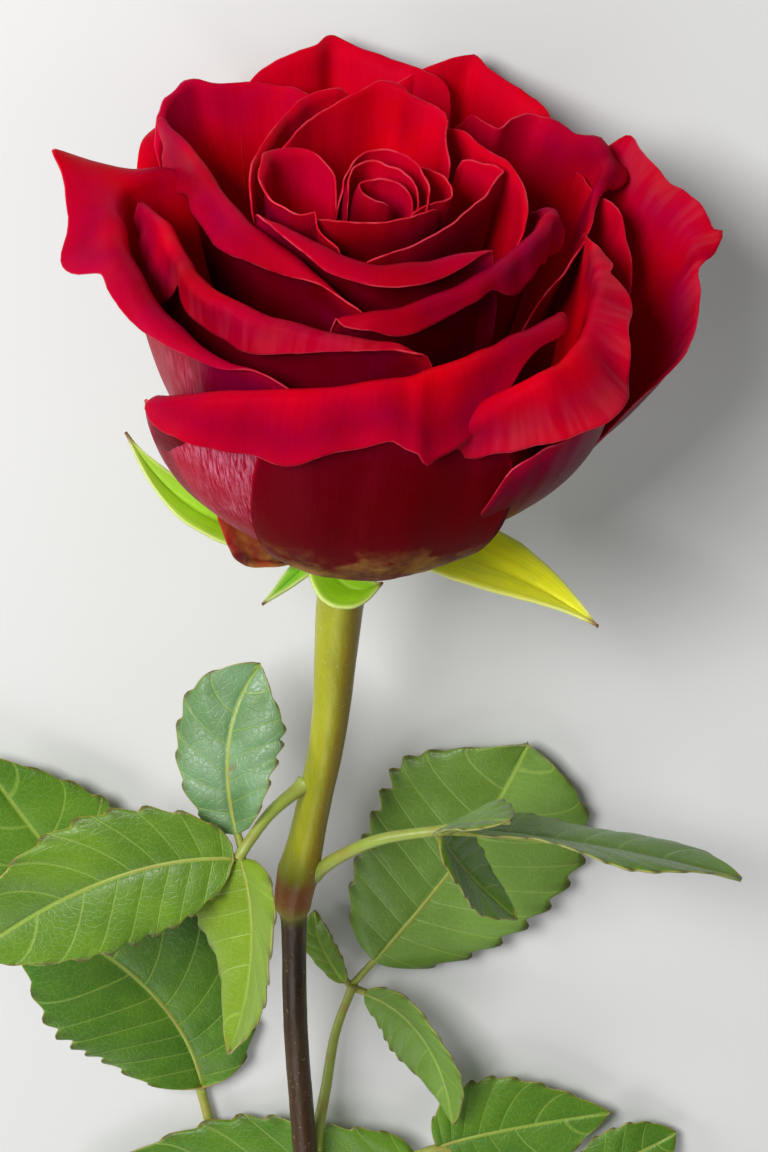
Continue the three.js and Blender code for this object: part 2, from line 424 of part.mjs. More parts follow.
function petalGeometry(petal) {
  const rolled = petal.rim.some((station) => station[3] > rolledMargin);
  const sweep = petal.rim.reduce((sum, station, k) =>
    sum + (k > 0 ? Math.abs(station[0] - petal.rim[k - 1][0]) : 0), 0);
  const columns = Math.max(fewestColumns, Math.round(sweep / columnAngle));
  const rows = bladeRows + (rolled ? curlRows : 0);
  const geometry = closedSheet(columns, rows, petalThickness, (u, v, i, j) =>
    petalPoint(petal, u, j <= bladeRows ? j / bladeRows : 1 + (j - bladeRows) / curlRows));
  return geometry.applyMatrix4(bloomFrame);
}

function turned(profile, sides) {
  const outline = profile.map(([radius, height]) => new THREE.Vector2(radius, height));
  return new THREE.LatheGeometry(outline, sides).rotateX(Math.PI / 2).applyMatrix4(bloomFrame);
}

function makeBloom() {
  const pieces = [turned(coreProfile, coreSides), ...petals.map(petalGeometry)];
  return toMesh("bloom", largestShell(fuse(pieces)), petalRed);
}

// Half the width of a blade at t along it: a rounded base, then a long taper to a point.
function halfWidth(blade, t) {
  const half = blade.width / 2;
  const foot = blade.foot || 0;
  const share = Math.max(0, (t - foot) / (1 - foot));
  if (share < blade.widest) return half * Math.sqrt(1 - (1 - share / blade.widest) ** 2);
  const turn = (Math.PI / 2) * (share - blade.widest) / (1 - blade.widest);
  return half * Math.cos(turn) ** (blade.teeth ? leafTaper : sepalTaper);
}

// A leaflet or sepal: a sheet along its spine, folded along its midrib, with saw teeth at its margins.
function bladeGeometry(blade, thickness, frame) {
  const spine = new THREE.QuadraticBezierCurve3(...blade.spine.map(vector));
  const teeth = blade.teeth || 0;
  const rows = teeth > 0 ? 2 * teeth : sepalRows;
  const fold = radians(blade.fold || 0);
  const face = vector(blade.face).normalize();
  const geometry = closedSheet(2, rows, thickness, (u, v, i, j) => {
    const t = Math.min(v, bladeEnd);
    const side = i - 1;
    const along = spine.getTangent(t);
    const across = new THREE.Vector3().crossVectors(along, face).normalize();
    const up = new THREE.Vector3().crossVectors(across, along).normalize();
    const notch = teeth > 0 && j % 2 === 0 && j > 0 && j < rows ? 1 - 2 * toothDepth : 1;
    const half = Math.max(halfWidth(blade, t) * notch, bluntHalfWidth);
    const point = spine.getPoint(t);
    point.addScaledVector(across, side * half * Math.cos(fold));
    point.addScaledVector(up, Math.abs(side) * half * Math.sin(fold));
    return point;
  });
  return frame ? geometry.applyMatrix4(frame) : geometry;
}

function makeCalyx() {
  const pieces = [turned(hipProfile, hipSides)];
  for (const sepal of sepals) {
    pieces.push(bladeGeometry({ ...sepal, fold: sepalFold }, sepalThickness, bloomFrame));
  }
  return toMesh("calyx", fuse(pieces), calyxGreen);
}

const stemCurve = new THREE.CatmullRomCurve3(stemRoute.map(vector), false, "catmullrom", 0.5);

// The stem's radius at a share of its length, between the radii of its route points.
function stemRadius(share) {
  const step = stemCurve.getUtoTmapping(share) * (stemRoute.length - 1);
  const k = Math.min(Math.floor(step), stemRoute.length - 2);
  return THREE.MathUtils.lerp(stemRoute[k][3], stemRoute[k + 1][3], step - k);
}

function nearestShare(y) {
  let share = 0;
  while (share < 1 && stemCurve.getPointAt(share).y > y) share += routeStep;
  return Math.min(share, 1);
}

function prickleGeometry([y, angle]) {
  const share = nearestShare(y);
  const centre = stemCurve.getPointAt(share);
  const along = stemCurve.getTangentAt(share);
  const side = new THREE.Vector3(1, 0, 0).applyAxisAngle(along, radians(angle));
  const out = side.addScaledVector(along, prickleLean).normalize();
  const height = prickleLength + prickleRoot;
  const cone = new THREE.ConeGeometry(prickleRadius, height, prickleSides).translate(0, height / 2, 0);
  cone.applyQuaternion(new THREE.Quaternion().setFromUnitVectors(new THREE.Vector3(0, 1, 0), out));
  const foot = centre.addScaledVector(out, stemRadius(share) - prickleRoot);
  return cone.translate(foot.x, foot.y, foot.z);
}

function makeStem() {
  const rod = taperedRod(stemCurve, stemSides, stemRings, stemRadius);
  let solid = fuse([rod, ...prickles.map(prickleGeometry)]);
  const hipEnd = hipProfile[hipProfile.length - 1][1];
  const block = new THREE.BoxGeometry(knifeSize, knifeSize, knifeSize);
  const above = block.clone().translate(0, 0, knifeSize / 2 + hipEnd - stemTopGap);
  solid = solid.subtract(toSolid(above.applyMatrix4(bloomFrame)));
  const end = stemCurve.getPointAt(1);
  const knife = block.clone().translate(0, -knifeSize / 2, 0).rotateZ(radians(cutAngle));
  solid = solid.subtract(toSolid(knife.translate(end.x, end.y + cutReach, end.z)));
  return toMesh("stem", solid, stemGreen);
}

function makeLeaf(leaf) {
  const stalk = new THREE.CatmullRomCurve3(leaf.stalk.map(vector), false, "catmullrom", 0.5);
  const radiusAt = (share) => THREE.MathUtils.lerp(leaf.radius[0], leaf.radius[1], share);
  const pieces = [taperedRod(stalk, stalkSides, stalkRings * (leaf.stalk.length - 1), radiusAt)];
  for (const leaflet of leaf.leaflets) {
    const root = stalk.getPointAt(leaflet.at).toArray();
    pieces.push(bladeGeometry({ ...leaflet, spine: [root, leaflet.bend, leaflet.tip] }, leafThickness));
  }
  const sleeve = taperedRod(stemCurve, stemSides, stemRings, (share) => stemRadius(share) + leafSeat);
  const green = new THREE.MeshStandardMaterial({ color: leaf.color, roughness: 0.45, metalness: 0 });
  return toMesh(leaf.name, fuse(pieces).subtract(toSolid(sleeve)), green);
}

const rose = new THREE.Group();
rose.add(makeBloom());
rose.add(makeCalyx());
rose.add(makeStem());
for (const leaf of leaves) rose.add(makeLeaf(leaf));

// The middle of the underside goes to the origin.
const box = new THREE.Box3().setFromObject(rose);
const centre = box.getCenter(new THREE.Vector3());
rose.position.set(-centre.x, -centre.y, -box.min.z);

export default rose;
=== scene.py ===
import math
from collections import namedtuple

import bmesh
import bpy
from bpy.props import FloatProperty, FloatVectorProperty, IntProperty, PointerProperty
from mathutils import Matrix, Vector, noise


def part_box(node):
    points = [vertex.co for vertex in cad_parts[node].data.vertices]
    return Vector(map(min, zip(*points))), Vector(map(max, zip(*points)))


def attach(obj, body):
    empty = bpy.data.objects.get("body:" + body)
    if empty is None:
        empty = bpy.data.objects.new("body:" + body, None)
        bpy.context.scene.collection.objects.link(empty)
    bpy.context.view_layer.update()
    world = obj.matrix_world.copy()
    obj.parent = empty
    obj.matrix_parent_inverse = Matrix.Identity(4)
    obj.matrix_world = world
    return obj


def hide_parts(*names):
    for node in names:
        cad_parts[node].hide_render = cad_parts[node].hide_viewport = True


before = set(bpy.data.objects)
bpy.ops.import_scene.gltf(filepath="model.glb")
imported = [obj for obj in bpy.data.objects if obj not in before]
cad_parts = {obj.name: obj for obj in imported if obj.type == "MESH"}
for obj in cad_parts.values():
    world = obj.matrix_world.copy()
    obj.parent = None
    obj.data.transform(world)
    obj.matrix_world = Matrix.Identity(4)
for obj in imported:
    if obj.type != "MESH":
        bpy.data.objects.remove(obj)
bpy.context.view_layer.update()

bl_info = {
    "name": "Cut Rose",
    "version": (1, 0, 0),
    "blender": (4, 5, 0),
    "location": "3D View > Sidebar > Rose",
    "description": "Dresses a packed cut rose with fine petals, leaves and a stem",
    "category": "Add Mesh",
}

# Lengths in the tables and properties are millimetres in the flower's own frame: the receptacle, where
# petals and stem meet, is at 0, 0, 0 and the stem runs towards -Y. Meshes are made in metres.
MM = 0.001
AXIS_RISE = math.radians(14)     # the bloom's axis above the surface
AXIS_LEAN = math.radians(5.5)    # the bloom's axis to the right, seen from above
NECK_CORNER = Vector((-2.14, 9.88, -1.23))   # from the highest corner of the stem's box to the receptacle
RECEPTACLE = Vector(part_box("stem")[1]) / MM + NECK_CORNER

# The photograph's view: a long lens above the bloom's face, aimed so that the receptacle falls on its pixel.
PHOTO_WIDTH, PHOTO_HEIGHT = 768, 1152
RECEPTACLE_PIXEL = (354, 520)
LENS, SENSOR = 100, 36           # mm, the sensor's tall side
CAMERA_TILT = math.radians(27)   # off the vertical, towards the bloom's face
CAMERA_REACH = 532               # mm from the camera to the receptacle, along the view

BLOOM_UP = Vector((math.sin(AXIS_LEAN) * math.cos(AXIS_RISE), math.cos(AXIS_LEAN) * math.cos(AXIS_RISE),
                   math.sin(AXIS_RISE)))
BLOOM_RIGHT = Vector((math.cos(AXIS_LEAN), -math.sin(AXIS_LEAN), 0))
BLOOM_FRAME = Matrix((BLOOM_RIGHT, BLOOM_UP.cross(BLOOM_RIGHT), BLOOM_UP)).transposed()

# A petal starts at base (radius, height), leaves it at start (degrees above level, handle length) and
# reaches its fold with top (degrees of outward lean, handle length). Beyond the fold its margin rolls
# outwards on the curl radius. The spoon is how many degrees steeper its sides leave the base. The rim
# lists (degrees round, radius, height, margin, roll degrees), without the last two where it is flat.
# Tips are (degrees round, extra length, half width in degrees) of the margin's small points.
Petal = namedtuple("Petal", "name base start top curl spoon rim")
HEART_PETALS = [
    Petal("heart_core", (0.9, 30), (84, 14), (-22, 12), 1, 0, [
        (-40, 3.8, 58), (-22, 3.7, 61.5), (-4, 3.3, 64.2), (17, 2.6, 65.4), (58, 1.9, 65.8),
        (110, 2.4, 66), (140, 3.7, 66), (158, 4.7, 66), (172, 5.1, 65.8), (186, 5, 65.6),
        (200, 4.3, 65.4), (222, 3.5, 65.3), (246, 2.8, 65), (262, 2.2, 64.2), (276, 1.5, 62.6),
        (290, 1, 60)]),
    Petal("heart_inner", (1.8, 24), (82, 14), (-14, 14), 1, 0, [
        (-28, 4.5, 57), (-15, 4.5, 61.5), (0, 4.3, 64.6), (31, 4, 66), (65, 4.4, 66.3), (94, 5.4, 66.4),
        (108, 6.7, 66.4), (120, 7.4, 66.4), (134, 7.5, 66.3), (149, 7.2, 66), (163, 6.9, 65.6),
        (174, 6.6, 64.6), (181, 6.4, 62), (186, 6.2, 57)]),
    Petal("heart_left", (2.4, 16), (80, 16), (-8, 16), 1, 0, [
        (-28, 5.4, 57), (-16, 5.4, 61.5), (0, 5.6, 64.6), (8, 5.8, 65.4), (34, 6.3, 65.9),
        (60, 7.8, 66.2), (79, 9.3, 66.3), (97, 10.3, 66.3), (112, 10.2, 66.2), (126, 9.5, 65.8),
        (143, 8.5, 65), (156, 8.1, 63.6), (164, 7.9, 61.5), (170, 7.9, 57)]),
    Petal("heart_right", (2.8, 12), (78, 16), (0, 18), 1, 0, [
        (-42, 3.6, 61.5), (-35, 3.6, 63), (-19, 4.6, 63.6), (-4, 5.6, 63.8), (4, 6.8, 63.8),
        (8, 8.3, 63.8), (14, 9.5, 63.9), (24, 10.2, 64), (36, 10.8, 64), (50, 11.3, 63.8),
        (61, 11.6, 63.4), (71, 12.3, 62.5), (78, 13.6, 59)]),
    Petal("inner_left", (3.2, 8), (70, 16), (4, 20), 1.4, 0, [
        (162, 9.4, 57), (156, 9, 60.5), (142, 10.8, 62, 0.5, 40), (137, 14.3, 62.4, 1, 60),
        (136, 17.2, 62.5, 1.4, 80), (143, 19.8, 62.3, 1.8, 90), (151, 21.1, 62, 2, 90),
        (160, 20.4, 62, 1.6, 80), (168, 19.8, 61.8, 1.2, 70), (179, 17.7, 61.6, 0.8, 60),
        (190, 15.9, 62, 0.5, 40), (198, 14.1, 62.6), (203, 12.2, 63.2), (213, 12.6, 62.4),
        (227, 12.8, 61.6, 0.3, 30), (240, 12.9, 60.8, 0.3, 30), (252, 12.7, 59.6)]),
    Petal("inner_front", (3, 8), (74, 16), (-4, 20), 1.4, 0, [
        (196, 12.6, 58), (200, 12.4, 61.4), (207, 11.6, 62.7), (223, 9.2, 63.4), (257, 6.1, 63.8),
        (294, 5.1, 64), (335, 5.9, 64), (348, 6.6, 63.8), (359, 7.3, 63), (366, 7.6, 61),
        (372, 7.8, 57)]),
    Petal("inner_back", (3.6, 5), (62, 18), (20, 22), 1.6, 0, [
        (152, 20.6, 56), (145, 22.4, 60), (137, 22.4, 62.5), (116, 26, 63.5), (104, 28.4, 64, 0.4, 40),
        (94, 31.2, 64.3, 0.6, 60), (88, 30.7, 64.4, 0.8, 80), (84, 28.2, 64.4, 1, 90),
        (77, 26.9, 64.2, 0.6, 60), (70, 24.2, 64, 0.3, 30), (67, 21.6, 63.8), (62, 18.6, 63.4),
        (54, 16, 62), (47, 14.8, 58)]),
    Petal("inner_right", (3.4, 6), (66, 18), (0, 20), 1.4, 0, [
        (244, 14.2, 58), (252, 13.1, 60), (262, 11.4, 60.8), (284, 9, 61), (305, 8.2, 61.2),
        (330, 8.4, 61.5), (352, 10, 61.8), (374, 13.6, 62.2), (385, 17, 62.4),
        (392, 19.6, 62.5, 0.3, 40), (395, 21.2, 62.6, 0.4, 60), (399, 21.2, 62.6, 0.3, 40),
        (405, 20.6, 62.4), (411, 19.9, 62.2), (416, 18.8, 61.4), (419, 18, 58)]),
]
MIDDLE_PETALS = [
    Petal("second_left", (4, 4), (56, 18), (12, 22), 2, 0, [
        (182, 20, 54), (177, 20.9, 58), (171, 21.5, 59.8, 0.6, 30), (158, 22.6, 60.3, 1.2, 50),
        (136, 25.6, 60.6, 1.6, 60), (122, 29.5, 61, 1.6, 60), (113, 32, 61.5, 1.4, 60),
        (105, 33, 61.5, 1, 40), (100, 33.5, 59.5), (96, 33.5, 55)]),
    Petal("second_right", (4, 4), (56, 18), (8, 22), 2, 0, [
        (-10, 18.4, 53), (-2, 19.8, 57), (1, 20.4, 59, 0.4, 40), (7, 20.6, 60, 0.8, 60),
        (12, 21.2, 60.6, 1, 60), (26, 22.2, 61.2, 1.2, 60), (38, 23, 61.6, 1.2, 60),
        (47, 23.2, 61.6, 1, 60), (55, 23.6, 61.6, 1, 60), (65, 25.9, 61.6, 0.8, 50),
        (71, 26.8, 61, 0.4, 30), (77, 29, 58), (81, 30, 54)]),
    Petal("front_crescent", (4, 4), (58, 20), (-4, 24), 1.8, 0, [
        (178, 20.4, 56), (184, 20, 59, 1, 60), (193, 18.4, 60, 2.4, 90), (204, 15.8, 60.3, 3.6, 110),
        (222, 13.6, 60.3, 4.6, 120), (241, 13.1, 60.1, 5.6, 125), (266, 12.6, 60, 6, 125),
        (294, 12.2, 60, 5.6, 120), (319, 13.5, 60.2, 4, 110), (330, 15.6, 60.3, 2.4, 90),
        (338, 18, 60.2, 1, 60), (343, 19.6, 59.6)]),
    Petal("left_large", (4.6, 3), (46, 22), (6, 24), 1.4, 0, [
        (137, 46.5, 53), (142, 45.5, 56, 0.5, 90), (146, 41.5, 57, 5.5, 180), (149, 37.5, 57.5, 8, 150),
        (153, 33.5, 58, 11, 160), (160, 29.5, 58.5, 8.5, 160), (169, 25.5, 58.5, 8.5, 145),
        (178, 22.5, 58.5, 8.5, 150), (188, 20.5, 58.5, 8, 150), (202, 18, 58.5, 6.5, 155),
        (219, 16.5, 58.5, 5, 150), (236, 17, 58, 2.5, 100), (252, 18.5, 57, 1, 60), (264, 19.5, 56),
        (272, 20.5, 52)]),
    Petal("right_middle", (4.8, 3), (46, 22), (4, 24), 1.4, 0, [
        (244, 23, 52), (250, 21.5, 54.5, 1.5, 80), (257, 20.5, 56, 3.5, 120), (265, 20, 57, 4.5, 140),
        (277, 19, 57.5, 6, 160), (293, 17.5, 58, 6, 160), (309, 17, 58, 5, 160), (324, 17, 58, 4.5, 160),
        (334, 17.5, 58, 7, 160), (345, 18, 58, 8.5, 160), (354, 19.5, 58, 7.5, 160),
        (362, 21, 58, 7.5, 165), (369, 23, 58, 9.5, 175), (374, 24, 58, 10.5, 180),
        (376, 25, 58, 10.5, 175), (378, 25.5, 57.5, 9, 165), (380, 25.5, 57.5, 7.5, 155),
        (382, 25, 57, 5, 140), (383, 24.5, 56.5, 3.5, 115), (385, 23.5, 56, 1, 50), (388, 23, 51)]),
    Petal("back_left", (5, 2.4), (36, 24), (24, 24), 3, 0, [
        (96, 38, 49), (103, 39, 52), (107, 40, 55.5, 0, 20), (111, 41.5, 57, 0.5, 60),
        (116, 44.5, 57, 0.5, 60), (122, 46.5, 57, 0.5, 80), (127, 48, 57, 1, 90), (130, 50, 57, 1.5, 85),
        (134, 49.5, 57, 1, 95), (139, 48, 56.5, 1, 100), (142, 46, 55.5, 1.5, 100), (145, 45, 53, 1, 80),
        (149, 43, 48, 0, 30)]),
    Petal("right_back", (5, 2.4), (38, 24), (22, 24), 1.6, 0, [
        (80, 35.5, 51), (76, 36.5, 54.5), (72, 37, 56, 0, 10), (70, 38, 57.5, 0, 10),
        (65, 37, 57.5, 0, 10), (62, 37, 57.5, 0, 10), (61, 40, 57.5, 0.5, 10), (59, 43.5, 57.5, 0.5, 20),
        (57, 44.5, 57, 0.5, 40), (53, 44.5, 57, 1, 100), (48, 44.5, 57, 1, 105), (44, 45, 57, 2.5, 115),
        (41, 44.5, 57, 3.5, 150), (38, 43.5, 56.5, 7, 115), (36, 42.5, 56.5, 6.5, 110),
        (34, 41, 56, 6.5, 110), (33, 39.5, 55.5, 5, 135), (31, 38.5, 55, 1.5, 140),
        (28, 37, 54, 0.5, 100), (23, 35, 53, 0.5, 60), (17, 32.5, 52), (11, 29.5, 50), (6, 26, 47),
        (2, 24, 42)]),
    Petal("middle_left", (5.2, 2), (34, 24), (0, 26), 1.3, 0, [
        (163, 38.5, 48), (167, 38, 52.5, 1, 120), (171, 36.5, 53.5, 8, 180), (175, 34.5, 54, 10, 165),
        (179, 33, 54.5, 13, 170), (184, 32, 54.5, 15.5, 170), (189, 31.5, 55, 13.5, 180),
        (193, 31, 55, 10, 185), (198, 30.5, 55, 6.5, 180), (202, 30.5, 55, 7.5, 180),
        (207, 30, 55, 8.5, 180), (212, 29.5, 55, 9.5, 185), (221, 28, 55, 9, 180),
        (231, 27, 55, 8.5, 180), (242, 26, 55.5, 6.5, 170), (254, 25.5, 55.5, 4.5, 160),
        (268, 25, 55, 3, 130), (275, 25, 55, 3, 100), (281, 26, 54, 2.5, 60), (288, 27.5, 52.5),
        (294, 28, 48)]),
    Petal("back_middle", (5.4, 2), (28, 26), (28, 24), 3.2, 0, [
        (126, 44, 50), (120, 46.5, 55.5, 1, 30), (112, 48, 57.3, 2, 40), (105, 49.5, 57.8, 2, 40),
        (101, 52.5, 57.8, 2, 40), (96, 49.5, 57.3, 2, 40), (88, 47, 57, 2, 40), (80, 46.5, 56, 1, 30),
        (74, 44.5, 52)]),
    Petal("back_right", (5.4, 2), (28, 26), (28, 24), 3.2, 0, [
        (96, 42, 52), (88, 45, 56, 1, 30), (82, 48.5, 56.5, 2, 40), (76, 53, 56.5, 2, 40),
        (72, 51, 56, 2, 40), (65, 49, 55.5, 2, 40), (58, 48.5, 54.5, 1, 30), (50, 45, 50)]),
]
OUTER_PETALS = [
    Petal("right_front", (5.6, 1.6), (26, 26), (0, 26), 1.6, 0, [
        (30, 34.5, 48), (24, 34.5, 52), (11, 32.5, 55, 0.5, 20), (3, 32, 55.5, 2.5, 110),
        (-3, 32.5, 55.5, 3.5, 90), (-6, 32.5, 55.5, 3, 90), (-9, 33, 55.5, 4, 95),
        (-15, 33.5, 55.5, 6, 90), (-18, 33.5, 55.5, 7, 100), (-25, 34.5, 55, 7, 85),
        (-29, 35, 55, 8.5, 95), (-33, 35.5, 54.5, 10.5, 110), (-38, 36, 54.5, 12.5, 110),
        (-44, 36.5, 54, 13, 120), (-47, 36.5, 54, 12.5, 134), (-50, 36, 53.5, 12.5, 142),
        (-53, 35, 52, 12, 155), (-56, 33.5, 50, 12, 166), (-59, 32, 48, 11.5, 178),
        (-62, 31, 46, 11.5, 186), (-66, 30, 44, 9.5, 186), (-71, 29, 41, 4, 150), (-76, 28, 37, 0, 60)]),
    Petal("right_second", (5.4, 1.8), (26, 26), (22, 24), 1.6, 0, [
        (54, 44, 46), (45, 43, 52), (34, 40.5, 53.5, 0, 15), (28, 41.5, 53.5, 0, 30),
        (24, 41, 53, 0.5, 50), (19, 40, 52, 0.5, 60), (13, 40, 50, 0.5, 60), (7, 39.5, 47.5, 0, 60),
        (3, 38.5, 44, 0, 30), (-1, 37, 38)]),
    Petal("left_outer", (5.8, 1.4), (26, 26), (10, 25), 2.2, 0, [
        (145, 34, 47), (152, 36, 52, 7, 140), (157, 39, 53, 9, 100), (161, 40.5, 53.5, 11.5, 75),
        (165, 42, 53.5, 14, 62), (169, 42, 53.5, 11, 70), (174, 41.5, 53.5, 9.5, 90),
        (178, 40.5, 53.5, 10.5, 110), (182, 40, 53, 13, 120), (186, 39.5, 53, 11.5, 125),
        (190, 38.5, 52.5, 7.5, 130), (196, 37.5, 52, 7.5, 120), (202, 37, 51.5, 7, 130),
        (209, 36.5, 51, 6.5, 150), (215, 35.5, 50.5, 6, 165), (222, 35, 50, 3.5, 155),
        (229, 33.5, 49, 2, 135), (235, 32, 48.5, 1, 60), (243, 31, 47.5, 0.5, 20), (252, 29.5, 45),
        (259, 28.5, 40)]),
    Petal("right_outer", (5.8, 1.4), (26, 26), (24, 25), 2, 0, [
        (52, 42, 46), (46, 44, 50.5, 1, 10), (43, 45, 52.5, 3, 10), (42, 47, 53.5, 4, 10),
        (41, 48.5, 54, 5, 12), (37, 48.5, 54, 4, 12), (32, 48.5, 54, 3.5, 12), (28, 49, 54, 3, 30),
        (23, 49, 54, 4, 16), (18, 49.5, 54, 4.5, 20), (16, 50, 53.5, 4, 40), (15, 50, 53, 4, 45),
        (14, 50, 52.5, 5.5, 45), (12.5, 50, 52, 4.5, 60), (11, 50, 51.5, 3.5, 90),
        (9, 50, 50.5, 0.5, 60), (5, 50, 48.5, 0.5, 60), (0, 49.5, 46.5, 0.5, 60),
        (-3, 49, 44.5, 0.5, 60), (-7, 47.5, 42.5, 0.5, 60), (-10, 44.5, 39, 0.5, 60),
        (-13, 41.5, 35, 0, 30), (-16, 38, 29)]),
    Petal("front_outer", (6.2, 1), (30, 18), (-4, 16), 1.8, 4, [
        (211, 39.5, 34), (217, 41.5, 40, 1, 150), (224, 41.5, 44, 8, 175), (231, 39.5, 46.5, 10.5, 163),
        (238, 37, 48, 12.5, 167), (245, 34.5, 49, 14, 172), (251, 33, 49.5, 15, 172),
        (258, 31.5, 50, 13.5, 166), (267, 30, 51, 13, 165), (274, 29.5, 51.5, 12, 165),
        (278, 29, 51.5, 13.5, 165), (281, 29, 52, 15, 165), (283, 28.5, 52, 17.5, 165),
        (286, 28, 52, 17, 165), (293, 27.5, 52.5, 15.5, 165), (298, 27, 52.5, 14, 165),
        (303, 26.5, 52.5, 12, 160), (308, 26.5, 52.5, 9.5, 155), (315, 26.5, 53, 7, 150),
        (321, 27, 53, 5.5, 150), (332, 28, 52.5, 5, 150), (338, 28.5, 52, 3, 150),
        (342, 28.5, 51.5, 1.5, 110), (346, 29, 47)]),
    Petal("bottom_left", (6.4, 0.6), (10, 24), (4, 16), 3, 0, [
        (198, 34, 26), (204, 37.5, 32), (212, 40.5, 37.5, 0.5, 30), (222, 41, 41, 0.5, 40),
        (231, 39.5, 42, 0.5, 40), (239, 37, 41), (247, 34, 40), (254, 32, 37)]),
    Petal("bottom_right", (6.4, 0.6), (32, 22), (8, 24), 3, 0, [
        (-58, 35, 34), (-52, 37, 38), (-44, 39.5, 41.5, 0.5, 40), (-36, 41, 43, 1, 50),
        (-26, 40.5, 40, 1, 50), (-14, 37.5, 33, 0.5, 30), (-6, 34, 25)]),
    Petal("bottom_centre", (6.6, 0.2), (6, 28), (-4, 24), 3, 10, [
        (240, 36.5, 41), (247, 36.5, 45), (256, 35.5, 46), (266, 33.5, 46), (280, 33, 46),
        (293, 32.5, 46), (302, 33.5, 44), (312, 35.5, 40)]),
    Petal("small_outer", (6.6, 0.2), (10, 28), (60, 16), 2, 0, [
        (172, 14, 8), (177, 17, 7), (184, 21, 5, 0.5, 30), (192, 22, 3, 1, 60), (201, 21, 1, 1.5, 60),
        (211, 19.5, -1.5, 1.5, 60), (222, 15.5, -2, 1, 40), (230, 12, -2)]),
    Petal("guard_right", (6.6, 0.4), (6, 30), (34, 20), 3.4, 14, [
        (92, 46, 34), (82, 50, 42, 4, 60), (70, 53, 45, 6.5, 90), (58, 53.5, 45, 6.5, 90),
        (46, 53, 43, 5, 80), (36, 50, 36), (28, 46, 28)]),
    Petal("guard_left", (6.6, 0.4), (6, 30), (34, 20), 3.4, 14, [
        (88, 45, 33), (98, 50, 42, 4, 60), (110, 53, 45, 6.5, 90), (122, 53.5, 45, 6.5, 90),
        (134, 53, 43, 5, 80), (144, 50, 36), (152, 46, 28)]),
]
PETAL_TIPS = {
    "inner_left": [(203, 0.7, 3)], "inner_back": [(95, 0.5, 3), (86, -0.7, 2), (72, 0.6, 3)],
    "back_middle": [(101, 0.9, 5)], "back_right": [(76, 0.9, 4)],
    "bottom_left": [(218, 0.6, 5)], "small_outer": [(217, 0.8, 7)],
}
# How much painted sheen and glints a petal's outside has from first to last, in degrees round, and plain
# elsewhere, how dried it is and how much painted sheen its rolled margin has
Look = namedtuple("Look", "frost first last plain dry pale", defaults=[0] * 6)
PETAL_LOOKS = {
    "left_outer": Look(0.4, last=210), "bottom_left": Look(1, 226, 360, 0.2), "bottom_centre": Look(dry=0.59),
    "small_outer": Look(dry=1), "bottom_right": Look(dry=0.2), "right_front": Look(pale=0.18),
    "right_outer": Look(pale=0.35), "middle_left": Look(pale=0.12),
}
# Painted shade: how much darker a petal is than the others, where it stands in shadow
PETAL_SHADES = {
    "right_outer": 0.4, "right_back": 0.3, "right_second": 0.3, "left_outer": 0.2, "right_middle": 0.1,
    "bottom_right": 0.5,
}

# A blade is a leaflet or a sepal: spine (root, bend, tip), the direction that its upper face looks in,
# its width, the share of its length where it is widest, the share at its foot that is a bare little
# stalk, the degrees that its halves fold up, and teeth. A leaflet has no root of its own: it starts at a
# share of its stalk's length.
Blade = namedtuple("Blade", "root bend tip face width widest foot fold teeth")
LEAF_TAPER, SEPAL_TAPER = 0.85, 1.1   # how hollow the taper towards the point is
SEPALS = {
    "sepal_left": Blade((-5, 0, -2.5), (-26, -6, -5), (-39, 8, 8), (0.2, -0.5, 0.9), 8, 0.4, 0, 16, 0),
    "sepal_right": Blade((4, -1, -2.5), (24, 4, -7), (42, -10, -10), (0.2, -0.3, 1), 13, 0.4, 0, 14, 0),
    "sepal_front": Blade((-5, -3, -2), (-2, -11, -10), (5.4, -9.5, -5), (0, -0.6, 0.8), 11, 0.5, 0, 30, 0),
    "sepal_small": Blade((-3, -2, -2.5), (-8, -9, -4), (-14, -14, -8), (0, -0.4, 0.9), 3.6, 0.4, 0, 14, 0),
    "sepal_back": Blade((1, 3, -2.5), (4, 22, -6), (8, 34, -9), (0, 0, 1), 10, 0.4, 0, 14, 0),
}
# Each sepal's share of bright yellow, which is partly painted light shining through it
YELLOW_SEPALS = {"sepal_right": 1, "sepal_left": 0.25, "sepal_front": 0.2}
HIP_PROFILE = [(6.4, 0.2), (6.9, -0.6), (7, -1.8), (6.3, -4), (5.4, -6), (4.9, -8), (4.4, -10.4)]
CORE_PROFILE = [(6.4, 0), (8, 2.4), (7.2, 9), (5, 20), (2.4, 31), (0.4, 34.6)]

VEIN_SWEEP = 0.2                 # how far a leaflet's side veins run forward, as a share of its length
# The stem's route from the receptacle to the cut end: x, y, z and radius.
STEM_ROUTE = [
    (0, 0, 0, 4.5), (-2.4, -17, -4.1, 4.1), (-4.6, -45, -10.5, 3.2), (-8, -66, -15, 3.1),
    (-10.4, -79, -17.6, 3.6), (-11.6, -86, -19, 3.5), (-11.7, -93, -20.3, 2.4), (-11.8, -120, -25.2, 2.3),
    (-10.6, -150, -30.1, 2.4), (-8.6, -192, -35.8, 2.5), (-6, -236, -40.6, 2.6),
]
STEM_TOP = -9                    # the stem starts at this height below the receptacle, inside the hip
RING_Y, RING_TOP, RING_FOOT = -84, -80, -88.5   # the brown node ring and the swellings at its two ends
PRICKLES = [(-163, 200), (-181, 20), (-197, 130), (-212, 310), (-224, 70)]   # y and degrees round
PRICKLE_LENGTH, PRICKLE_RADIUS = 4.6, 1.7
CUT_ANGLE = math.radians(40)
CUT_REACH = 3                    # the cut starts this far before the end of the route
